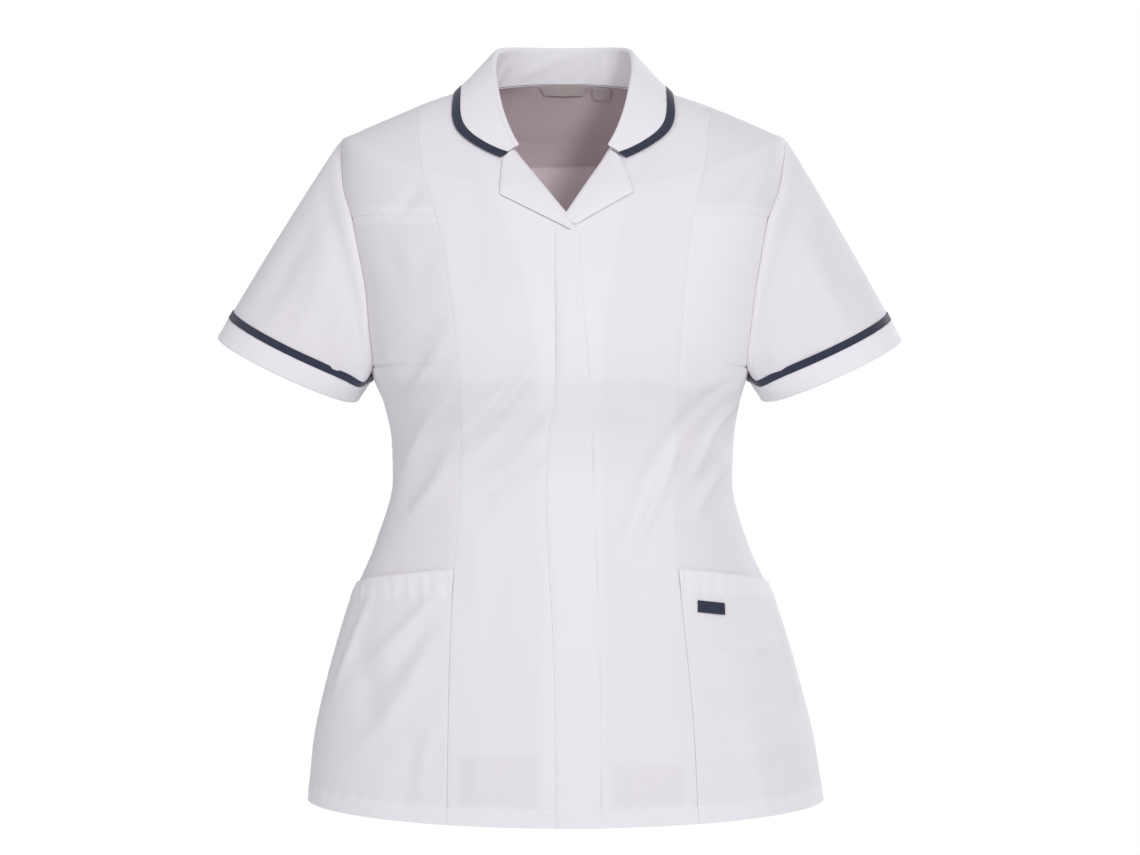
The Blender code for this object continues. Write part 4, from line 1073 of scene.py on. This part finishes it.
# The short sleeves are set into the armholes and end in a turned cuff. A navy tape is stitched round
# over the cuff's seam.
CUFF_ENDS = {"right": ((-324.5, -238), (-196, -298)), "left": ((320, -240), (192, -297.5))}
CUFF_HALF_DEPTH = 55
CUFF_FRONT_DIP = 7
CUFF_DEPTH = 23
TAPE_WIDTH = 7.5
SLEEVE_SEAT = 0.2
SLEEVE_LAP = 0.5
SLEEVE_FALL = (0.42, -0.91)
SLEEVE_BULGE = (1.5, 3.0)
SLEEVE_POINTS = 46
SLEEVE_CREASES = {
    "right": (
        (((22, 0.1), (60, 0.11), (100, 0.13), (145, 0.2)), 9, -4.5, 0.8),
        (((100, 0.2), (118, 0.48), (130, 0.8)), 9, 3.2, 0.8),
        (((40, 0.2), (48, 0.5), (52, 0.82)), 11, -3.2, 0.4),
        (((66, 0.22), (80, 0.5), (86, 0.8)), 10, 2.6, -0.6),
        (((158, 0.2), (150, 0.42), (140, 0.62)), 9, 2.4, 0.8),
        (((-24, 0.1), (-60, 0.12), (-100, 0.14), (-145, 0.2)), 9, -4.5, 0.8),
        (((-62, 0.2), (-74, 0.45), (-84, 0.75)), 10, 3.0, 0.8),
        (((-122, 0.28), (-106, 0.5), (-94, 0.8)), 10, 2.8, -0.8),
        (((-30, 0.22), (-38, 0.5), (-44, 0.85)), 12, -2.6, 0.3),
    ),
    "left": (
        (((22, 0.1), (60, 0.13), (100, 0.15), (145, 0.22)), 10, -4.8, -0.8),
        (((54, 0.28), (64, 0.5), (70, 0.8)), 10, 3.2, -0.7),
        (((92, 0.3), (98, 0.6), (100, 0.85)), 10, -2.8, 0.4),
        (((125, 0.25), (120, 0.5), (126, 0.8)), 9, 2.8, 0.8),
        (((30, 0.3), (34, 0.55), (30, 0.85)), 11, -2.6, 0.4),
        (((-24, 0.1), (-60, 0.12), (-100, 0.14), (-145, 0.2)), 9, -4.5, -0.8),
        (((-60, 0.22), (-70, 0.48), (-82, 0.78)), 10, 3.0, -0.8),
        (((-124, 0.28), (-108, 0.5), (-92, 0.76)), 10, 2.8, 0.8),
        (((-28, 0.24), (-36, 0.5), (-40, 0.85)), 12, -2.6, 0.3),
    ),
}
NAVY = woven("navy_tape", (0.021, 0.026, 0.058), 0.5, 0.7, 0.25, 0.7)
NAVY_THREAD = thread_material("navy_thread", (0.03, 0.036, 0.08))


class Sleeve:
    """A sleeve's lines from the armhole to the hem; turn 0 runs down the top and 90 down the front."""

    def __init__(self, side):
        rise = np.linspace(0, 1, SLEEVE_POINTS)
        levels = ARMPIT_LEVEL + (SHOULDER_LEVEL - ARMPIT_LEVEL) * (1 - np.cos(np.pi * rise)) / 2
        front = 90 - ARMHOLE["front"](rise[::-1])
        back = 90 + ARMHOLE["back"](rise[1:-1])
        angle = SIDES[side] * np.concatenate((front, back))
        level = np.concatenate((levels[::-1], levels[1:-1]))
        self.start = body(angle, level, SLEEVE_SEAT)
        across = self.start - self.start.mean(axis=0)
        self.start += across / np.linalg.norm(across, axis=1, keepdims=True) * SLEEVE_LAP
        outer, inner = (np.array([x, 0, z], float) for x, z in CUFF_ENDS[side])
        steps = np.linalg.norm(np.roll(self.start, -1, axis=0) - self.start, axis=1)
        travelled = np.concatenate(([0], np.cumsum(steps)[:-1]))
        bottom = SLEEVE_POINTS - 1
        front_length, back_length = steps[:bottom].sum(), steps[bottom:].sum()
        self.turn = np.where(
            np.arange(len(steps)) < bottom,
            180 * travelled / front_length,
            180 + 180 * (travelled - front_length) / back_length,
        )
        dip = np.array([SIDES[side] * SLEEVE_FALL[0], 0, SLEEVE_FALL[1]]) * CUFF_FRONT_DIP
        cosine, sine = np.cos(np.radians(self.turn))[:, None], np.sin(np.radians(self.turn))[:, None]
        around = (outer - inner) / 2 * cosine + (np.array([0, -CUFF_HALF_DEPTH, 0]) + dip) * sine
        self.end = (outer + inner) / 2 + around
        self.length = np.linalg.norm(self.end - self.start, axis=1)
        bulge = SLEEVE_BULGE[0] * (1 + cosine) / 2 + SLEEVE_BULGE[1] * np.abs(sine)
        self.bulge = around / np.linalg.norm(around, axis=1, keepdims=True) * bulge
        self.creases = []
        for points, width, height, lean in SLEEVE_CREASES[side]:
            turns, shares = rounded(np.array(points) * (1, 100), 12).T
            column = np.argmin(np.abs((self.turn[None, :] - turns[:, None] + 180) % 360 - 180), axis=1)
            share = shares / 100
            line = self.lines_at(share[:, None])[np.arange(len(share)), column]
            self.creases.append((line, width, height, lean))

    def lines_at(self, share):
        """Points of every line at shares of its way to the hem."""
        share = share[..., None]
        return self.start + (self.end - self.start) * share + self.bulge * 4 * share * (1 - share)

    def rows(self, hem_distances):
        """Rows of points at distances from the hem."""
        share = 1 - hem_distances / self.length
        return self.lines_at(share)


def tube_normals(grid):
    round_it = np.roll(grid, -1, axis=1) - np.roll(grid, 1, axis=1)
    normal = np.cross(round_it, np.gradient(grid, axis=0))
    normal /= np.linalg.norm(normal, axis=2, keepdims=True)
    away = grid - grid.mean(axis=1, keepdims=True)
    return normal if (away * normal).sum() > 0 else -normal


def tube_texture(grid):
    across = np.linalg.norm(np.roll(grid, -1, axis=1) - grid, axis=2)
    along = np.linalg.norm(np.diff(grid, axis=0), axis=2)
    return np.stack(
        [np.pad(np.cumsum(across, axis=1)[:, :-1], ((0, 0), (1, 0))), np.pad(np.cumsum(along, axis=0), ((1, 0), (0, 0)))],
        axis=-1,
    )


for side in SIDES:
    sleeve = Sleeve(side)
    share_down = spaced(float(sleeve.length.mean()) - CUFF_DEPTH)[:, None]
    clearance = sleeve.length - (sleeve.length - CUFF_DEPTH - SEAM_GAP / 2) * share_down
    grid = sleeve.rows(clearance)
    normal = tube_normals(grid)
    from_armhole = sleeve.length - clearance
    texture = tube_texture(grid)
    puff = 1.3 * (1 - np.exp(-from_armhole / 6))
    pucker = 0.35 * ripple(texture[..., 0], 12, 61) * np.exp(-from_armhole / 10) * (1 - np.exp(-from_armhole / 2))
    seam_dip = -0.4 * np.exp(-(((clearance - CUFF_DEPTH) / 1.7) ** 2))
    height = crease_height(grid, normal, sleeve.creases) * (1 - np.exp(-from_armhole / 12))
    height *= 1 - np.exp(-np.maximum(clearance - CUFF_DEPTH, 0) / 9)
    middle = grid + normal * (puff + pucker + seam_dip + height)[..., None]
    cap_doubled = 0.6 * pressed_allowance(from_armhole, 8)
    half = normal * (LAYER / 2 * np.minimum(1, 0.15 + from_armhole / 1.8))[..., None]
    cloth = shell(
        f"sleeve_cloth_{side}", middle + half, middle - half, WHITE, texture, cap_doubled, closed=True
    )
    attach(cloth, "root")
    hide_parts(f"sleeve_{side}")

    seam_puff = 1.3
    cuff_distance = np.flip(spaced(CUFF_DEPTH - SEAM_GAP / 2))[:, None] * (CUFF_DEPTH - SEAM_GAP / 2)
    cuff_grid = sleeve.rows(np.broadcast_to(cuff_distance, (len(cuff_distance), len(sleeve.length))))
    cuff_normal = tube_normals(cuff_grid)
    cuff_texture = tube_texture(cuff_grid)
    cuff_height = seam_puff - 0.4 * np.exp(-(((cuff_distance - CUFF_DEPTH) / 1.7) ** 2))
    cuff_height = cuff_height - 0.35 * np.exp(-((cuff_distance / 0.8) ** 2))
    cuff_height = cuff_height + 0.25 * ripple(cuff_texture[..., 0] + cuff_distance * 0.5, 10, 62)
    cuff_middle = cuff_grid + cuff_normal * cuff_height[..., None]
    rounding = 0.85 - 0.45 * np.exp(-((cuff_distance / 0.7) ** 2))[..., None]
    cuff = shell(
        f"cuff_cloth_{side}", cuff_middle + cuff_normal * rounding, cuff_middle - cuff_normal * rounding,
        WHITE, cuff_texture, np.ones(cuff_texture.shape[:2]), closed=True,
    )
    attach(cuff, "root")
    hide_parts(f"cuff_{side}")

    tape_distance = CUFF_DEPTH - 1 + TAPE_WIDTH * np.array([1, 0.94, 0.8, 0.6, 0.4, 0.2, 0.06, 0])[:, None]
    tape_grid = sleeve.rows(np.broadcast_to(tape_distance, (len(tape_distance), len(sleeve.length))))
    tape_normal = tube_normals(tape_grid)
    tape_texture = tube_texture(tape_grid)
    tape_share = (tape_distance - CUFF_DEPTH + 1) / TAPE_WIDTH
    rolled = 0.35 * (1 - (2 * tape_share - 1) ** 8)
    tape_lift = seam_puff + LAYER / 2 + 0.55 + rolled + 0.12 * ripple(tape_texture[..., 0], 10, 63)
    tape_middle = tape_grid + tape_normal * tape_lift[..., None]
    tape = shell(
        f"navy_tape_{side}", tape_middle + tape_normal * 0.3, tape_middle - tape_normal * 0.5, NAVY,
        tape_texture, closed=True,
    )
    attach(tape, "root")
    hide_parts(f"sleeve_tape_{side}")
    rim = []
    for row in (1, -2):
        line = tape_middle[row] + tape_normal[row] * 0.38
        rim.append(np.concatenate((line, line[:1])))
    tape_thread = sewn(f"tape_stitches_{side}", rim, NAVY_THREAD)

# The collar is one folded piece round the neck: a stand, a soft roll and a fall that rounds off above
# the lapels. A bias strip of navy cloth binds the fall's edge from notch to notch.
COLLAR_COLUMNS = (
    "place", "seam_angle", "seam_level", "roll_x", "roll_y", "roll_z", "edge_angle", "edge_level", "fold",
)
COLLAR = (
    (0.00, 180, 0, 0, 60, 46.5, 180, -15, 2.6),
    (0.15, 155, 0, 31, 55, 46, 153, -14, 2.6),
    (0.30, 128, 0, 53, 39, 43, 125, -11, 2.6),
    (0.45, 100, 0, 62.5, 13, 34.5, 97, -6.3, 2.3),
    (0.58, 80, 0, 63.5, -13, 15, 77, -7.5, 2.2),
    (0.70, 65, 0, 60, -38, -8, 62, -11, 2.1),
    (0.82, 52, 0, 53.5, -60, -35, 45, -17, 2.0),
    (0.92, 38, -1, 46.5, -70, -53, 33, -17.5, 2.0),
    (1.00, 28, -5, 40.5, -75, -63, 23.2, -17.5, 2.0),
)
COLLAR_STATIONS = 90
COLLAR_LAYERS = 1.2
COLLAR_SEAM_LIFT = 1.1
COLLAR_EDGE_LIFT = 2.4
COLLAR_BELLY = 0.04
BINDING_WIDTH = 7.5
COLLAR_CURVES = {name: curve([(row[0], row[i]) for row in COLLAR]) for i, name in enumerate(COLLAR_COLUMNS)}
STAND_SHARES = np.array([0, 0.02, 0.05, 0.1, 0.2, 0.32, 0.45, 0.58, 0.7, 0.82, 0.92, 1.0])
FOLD_TURNS = np.linspace(0, np.pi, 10)[1:-1]
FALL_SHARES = np.linspace(0, 1, 16)[:-1]
EDGE_DISTANCES = np.array([10, 9, 8.2, BINDING_WIDTH, 6.4, 5, 3.5, 2.2, 1.2, 0.5, 0.0])
COLLAR_WRINKLES = (
    (((-0.22, 0.35), (-0.1, 0.6), (0.02, 0.9)), 4.0, 1.7, 0.8),
    (((0.1, 0.2), (0.16, 0.5), (0.2, 0.85)), 4.5, 1.7, -0.8),
    (((-0.02, 0.2), (0.06, 0.42), (0.1, 0.75)), 3.5, -1.4, 0.6),
    (((-0.36, 0.2), (-0.3, 0.55), (-0.24, 0.8)), 4.0, 1.4, 0.6),
)


def collar_section(place, side):
    """Points across the collar from the neck seam over the roll to the outer edge."""
    row = {name: float(at(place)) for name, at in COLLAR_CURVES.items()}
    sign = SIDES[side]
    seam = body(np.float64(sign * row["seam_angle"]), row["seam_level"], COLLAR_SEAM_LIFT)
    edge = body(np.float64(sign * row["edge_angle"]), row["edge_level"], COLLAR_EDGE_LIFT)
    roll = np.array([sign * row["roll_x"] + RING_CURVES["lean"](0), row["roll_y"], row["roll_z"]])
    rise = unit(roll - seam)
    across = edge - seam
    across = unit(across - rise * (across @ rise))
    fold = row["fold"]
    top = roll - rise * fold
    stand = seam + (top - seam) * STAND_SHARES[:, None]
    turn = FOLD_TURNS[:, None]
    bend = top + across * fold * (1 - np.cos(turn)) + rise * fold * np.sin(turn)
    start = top + across * 2 * fold
    reach = np.linalg.norm(edge - start)
    belly = unit(np.cross(np.cross(edge - start, across), edge - start))
    share = np.concatenate((FALL_SHARES * (1 - EDGE_DISTANCES[0] / reach), 1 - EDGE_DISTANCES / reach))[:, None]
    fall = start + (edge - start) * share + belly * reach * COLLAR_BELLY * share * (1 - share)
    return np.concatenate((stand, bend, fall))


places = np.linspace(0, 1, COLLAR_STATIONS + 1)[1:]
sections = [collar_section(place, "right") for place in places[::-1]]
sections += [collar_section(place, "left") for place in np.concatenate(([0.0], places))]
collar_grid = np.array(sections)
spread = np.exp(-((np.arange(-12, 13) / 5) ** 2))
padded = np.concatenate((np.repeat(collar_grid[:1], 12, axis=0), collar_grid, np.repeat(collar_grid[-1:], 12, axis=0)))
softened = sum(padded[i : i + len(collar_grid)] * weight for i, weight in enumerate(spread / spread.sum()))
from_end = np.minimum(np.arange(len(collar_grid)), np.arange(len(collar_grid))[::-1])[:, None, None]
from_seam = np.minimum(1, np.arange(collar_grid.shape[1]) / 12)[None, :, None]
collar_grid = collar_grid + (softened - collar_grid) * np.minimum(1, from_end / 10) * from_seam
collar_normal = np.cross(np.gradient(collar_grid, axis=0), np.gradient(collar_grid, axis=1))
collar_normal /= np.linalg.norm(collar_normal, axis=2, keepdims=True)
if collar_normal[COLLAR_STATIONS, -1, 1] < 0:
    collar_normal = -collar_normal
wrinkles = []
for points, width, height, lean in COLLAR_WRINKLES:
    place, share = rounded(np.array(points) * 100, 10).T / 100
    station = np.clip(np.round(COLLAR_STATIONS + place * COLLAR_STATIONS), 0, 2 * COLLAR_STATIONS).astype(int)
    column = np.clip(np.round(share * (len(STAND_SHARES) - 1)), 0, len(STAND_SHARES) - 1).astype(int)
    wrinkles.append((collar_grid[station, column], width, height, lean))
collar_texture = np.stack(
    [
        np.pad(np.cumsum(np.linalg.norm(np.diff(collar_grid, axis=1), axis=2), axis=1), ((0, 0), (1, 0))),
        np.pad(np.cumsum(np.linalg.norm(np.diff(collar_grid, axis=0), axis=2), axis=0), ((1, 0), (0, 0))),
    ],
    axis=-1,
)
collar_height = crease_height(collar_grid, collar_normal, wrinkles)
beside_binding = np.exp(-(((collar_texture[..., 0] - collar_texture[:, -1:, 0] + BINDING_WIDTH + 2) / 5) ** 2))
collar_height += 0.25 * beside_binding * ripple(collar_texture[..., 1], 12, 71)
collar_middle = collar_grid + collar_normal * collar_height[..., None]
collar_face = collar_middle + collar_normal * COLLAR_LAYERS / 2
collar_under = collar_middle - collar_normal * COLLAR_LAYERS / 2
collar_cloth = shell(
    "collar_cloth", collar_face, collar_under, WHITE, collar_texture, np.ones(collar_texture.shape[:2]), hollow_shade=0.0
)
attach(collar_cloth, "root")
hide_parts("collar")

BINDING = (
    (BINDING_WIDTH, 0.05, 0.45), (BINDING_WIDTH - 0.5, 0.05, 0.62), (5.0, 0.05, 0.7), (2.5, 0.05, 0.7),
    (0.9, 0.05, 0.65), (0.0, 0.05, 0.45),
)
edge_point, edge_before = collar_middle[:, -1], collar_middle[:, -4]
away = (edge_point - edge_before) / np.linalg.norm(edge_point - edge_before, axis=1, keepdims=True)
face = collar_normal[:, -1]
BINDING_OVERHANG = 0.5


def binding_ring(top, half=COLLAR_LAYERS / 2):
    """Outline of the folded strip round the collar's edge, one point for each station."""
    points = []
    for distance, low, high in BINDING:
        inward = edge_point - away * distance
        points.append(inward + face * (half + (high if top else low)))
    for turn in np.radians((60, 20, -20, -60)):
        reach = half + (0.62 if top else 0.05)
        points.append(edge_point + away * reach * np.cos(turn) + face * reach * np.sin(turn))
    for distance, low, high in BINDING[::-1]:
        inward = edge_point - away * distance
        points.append(inward - face * (half + (high if top else low)))
    return points


binding_grid = np.stack(binding_ring(True), axis=1)
binding_inner = np.stack(binding_ring(False), axis=1)
binding_core = np.stack(binding_ring(False, 0.0), axis=1)
first_end = unit(edge_point[0] - edge_point[1]) * BINDING_OVERHANG
last_end = unit(edge_point[-1] - edge_point[-2]) * BINDING_OVERHANG
binding_line = binding_grid[:, 1]
binding_inner = np.concatenate(([binding_core[0] + first_end], binding_inner, [binding_core[-1] + last_end]))
binding_grid = np.concatenate(([binding_grid[0] + first_end], binding_grid, [binding_grid[-1] + last_end]))
binding_texture = np.stack(
    [
        np.pad(np.cumsum(np.linalg.norm(np.diff(binding_grid, axis=1), axis=2), axis=1), ((0, 0), (1, 0))),
        np.pad(np.cumsum(np.linalg.norm(np.diff(binding_grid, axis=0), axis=2), axis=0), ((1, 0), (0, 0))),
    ],
    axis=-1,
)
binding = shell("navy_binding", binding_grid, binding_inner, NAVY, binding_texture)
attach(binding, "root")
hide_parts("collar_binding")
binding_thread = sewn("binding_stitches", [binding_line + face * 0.03], NAVY_THREAD)

# The lapels are the tops of the fronts, turned back over the chest so that the facing shows. Each rolls
# over the edge of the neck opening and lies nearly flat out to its notched, pointed edge.
LAPELS = {
    "right": {"notch": (-54.5, -79), "tip": (-56, -112), "foot": (14, -148), "gorge": (-45, -69)},
    "left": {"notch": (55, -79), "tip": (65, -110), "foot": (12, -141), "gorge": (45, -69)},
}
LAPEL_APEX = (4.2, -131.5)
LAPEL_LIFT = 2.4
LAPEL_PUFF = 1.4
LAPEL_LAYERS = 1.2
LAPEL_ROWS = 60
ROLL_PATH = ((7, -1.4), (4, -1.4), (1.5, -1.3), (-0.4, -0.9), (-1.3, 0.0), (-1.2, 0.9), (-0.4, 1.7))


def along_corners(corners, share):
    """Points at shares of the way along a run of corners."""
    corners = np.array(corners, float)
    length = np.concatenate(([0], np.cumsum(np.linalg.norm(np.diff(corners, axis=0), axis=1))))
    return np.stack([np.interp(share * length[-1], length, column) for column in corners.T], axis=-1)


for side in SIDES:
    corner = LAPELS[side]
    edge_corners = np.array((corner["notch"], corner["tip"], corner["foot"]), float)
    lengths = np.linalg.norm(np.diff(edge_corners, axis=0), axis=1)
    tip_share = lengths[0] / lengths.sum()
    share = np.unique(np.concatenate((np.linspace(0, 0.98, LAPEL_ROWS), [tip_share])))
    roll = along_corners((corner["gorge"], LAPEL_APEX, corner["foot"]), share)
    edge = along_corners(edge_corners, share)
    reach = np.linalg.norm(edge - roll, axis=1, keepdims=True)
    out = (edge - roll) / reach
    small = np.minimum(1, reach / 14)
    columns = [(roll + out * distance * small, np.full(len(share), lift)) for distance, lift in ROLL_PATH]
    for part in np.concatenate((np.linspace(0.03, 0.9, 16), [0.94, 0.97, 0.99, 1.0])):
        drop = 0.5 * np.exp(-((((1 - part) * reach[:, 0]) / 1.2) ** 2))
        columns.append((roll + out * reach * part, LAPEL_LIFT + LAPEL_PUFF * np.sin(np.pi * part) - drop))
    flat_points = np.stack([column[0] for column in columns], axis=1)
    lifts = np.stack([column[1] for column in columns], axis=1)
    at_foot = np.clip((share - 0.9) / 0.08, 0, 1)[:, None]
    lifts = np.where(lifts > 1, 1 + (lifts - 1) * (1 - 0.75 * at_foot), lifts)
    angle, level = place_at(flat_points[..., 0], flat_points[..., 1])
    middle = body(angle, level, lifts)
    normal = np.cross(np.gradient(middle, axis=0), np.gradient(middle, axis=1))
    normal /= np.linalg.norm(normal, axis=2, keepdims=True)
    if normal[LAPEL_ROWS // 2, -1, 1] > 0:
        normal = -normal
    texture = np.stack(
        [
            np.pad(np.cumsum(np.linalg.norm(np.diff(middle, axis=1), axis=2), axis=1), ((0, 0), (1, 0))),
            np.pad(np.cumsum(np.linalg.norm(np.diff(middle, axis=0), axis=2), axis=0), ((1, 0), (0, 0))),
        ],
        axis=-1,
    )
    half = normal * (LAPEL_LAYERS / 2 * (1 - 0.7 * at_foot))[..., None]
    lapel = shell(
        f"lapel_cloth_{side}", middle + half, middle - half, WHITE, texture, np.ones(texture.shape[:2]), hollow_shade=0.0
    )
    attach(lapel, "root")
    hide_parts(f"lapel_{side}")

# Two bare pieces of beige tape are caught in the back neck seam: a hanger loop, and a small folded size
# tag beside it.
LABEL_SEAT = -1.75
LOOP_ENDS, LOOP_LEVELS = ((-17.5, 20), (-22, 25)), (-9.5, -1)
TAG_ENDS, TAG_LEVELS = ((30, 47.5), (30, 47.5)), (-12.5, -1)
BEIGE = woven("beige_tape", (0.57, 0.515, 0.505), 0.4, 0.55, 0.2, 0.6)


def label(name, node, ends, levels):
    across, down = np.linspace(0, 1, 15)[None, :], np.linspace(0, 1, 9)[:, None]
    low, high = np.array(ends, float)
    x = (low[0] + (low[1] - low[0]) * across) * (1 - down) + (high[0] + (high[1] - high[0]) * across) * down
    level = levels[0] + (levels[1] - levels[0]) * down + 0 * across
    angle = 180 - angle_at(x, level)
    bow = -0.8 * (1 - down) * np.sin(np.pi * across)
    middle, normal = body(angle, level, LABEL_SEAT + bow), outward(angle, level)
    texture = np.stack(np.broadcast_arrays(across * (high[1] - high[0]), down * 10), axis=-1)
    piece = shell(name, middle + normal * 0.3, middle - normal * 0.3, BEIGE, texture)
    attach(piece, "root")
    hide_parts(node)
    return piece


hanger = label("hanger_tape", "hanger_loop", LOOP_ENDS, LOOP_LEVELS)
tag = label("size_tape", "size_tag", TAG_ENDS, TAG_LEVELS)

# The stage is a plain pale floor far below the hem, fading into a white surround, under soft light from
# above and in front. The camera stands level with the waist, 2.2 m before the tunic.
FLOOR_HEIGHT = -1.45
FLOOR_RADIUS = 3.4
bpy.ops.mesh.primitive_circle_add(vertices=96, radius=FLOOR_RADIUS, fill_type="NGON", location=(0, 0, FLOOR_HEIGHT))
floor = bpy.context.object
floor.name = "floor"
pale = bpy.data.materials.new("pale_floor")
pale.use_nodes = True
pale.node_tree.nodes["Principled BSDF"].inputs["Base Color"].default_value = (0.9, 0.9, 0.9, 1)
pale.node_tree.nodes["Principled BSDF"].inputs["Roughness"].default_value = 0.9
floor.data.materials.append(pale)

world = bpy.data.worlds.new("white_surround")
bpy.context.scene.world = world
world.use_nodes = True
world_nodes, world_links = world.node_tree.nodes, world.node_tree.links
surround = world_nodes["Background"]
surround.inputs["Color"].default_value = (1, 1, 1, 1)
surround.inputs["Strength"].default_value = 1.0
fill = world_nodes.new("ShaderNodeBackground")
fill.inputs["Color"].default_value = (0.97, 0.965, 1, 1)
fill.inputs["Strength"].default_value = 0.48
ray = world_nodes.new("ShaderNodeLightPath")
choice = world_nodes.new("ShaderNodeMixShader")
world_links.new(ray.outputs["Is Camera Ray"], choice.inputs["Fac"])
world_links.new(fill.outputs["Background"], choice.inputs[1])
world_links.new(surround.outputs["Background"], choice.inputs[2])
world_links.new(choice.outputs["Shader"], world_nodes["World Output"].inputs["Surface"])

LIGHT_COLUMNS = ("name", "place", "size", "power")
LIGHTS = (
    ("key", (1.15, -2.7, 0.85), 0.6, 32),
    ("fill", (-2.0, -2.2, 0.4), 2.0, 13),
    ("back", (2.0, 2.0, 0.8), 1.0, 30),
)
for light in (dict(zip(LIGHT_COLUMNS, row)) for row in LIGHTS):
    lamp_data = bpy.data.lights.new(light["name"], "AREA")
    lamp_data.size = light["size"]
    lamp_data.energy = light["power"]
    lamp = bpy.data.objects.new(light["name"], lamp_data)
    bpy.context.scene.collection.objects.link(lamp)
    lamp.location = light["place"]
    towards = np.array((0, 0, -0.3)) - np.array(light["place"])
    lamp.rotation_mode = "QUATERNION"
    lamp.rotation_quaternion = Vector(towards).to_track_quat("-Z", "Y")

VIEW_WIDTH_PX = 1140
SCALE_MM_PER_PX = 0.95
CAMERA_PLACE = (0.0076, -2.2, -0.323)
camera_data = bpy.data.cameras.new("camera")
camera_data.sensor_width = 36
camera_data.lens = 36 * 2200 / (VIEW_WIDTH_PX * SCALE_MM_PER_PX)
camera = bpy.data.objects.new("camera", camera_data)
bpy.context.scene.collection.objects.link(camera)
camera.location = CAMERA_PLACE
camera.rotation_euler = (np.pi / 2, 0, 0)
bpy.context.scene.camera = camera
bpy.context.scene.view_settings.view_transform = "Standard"
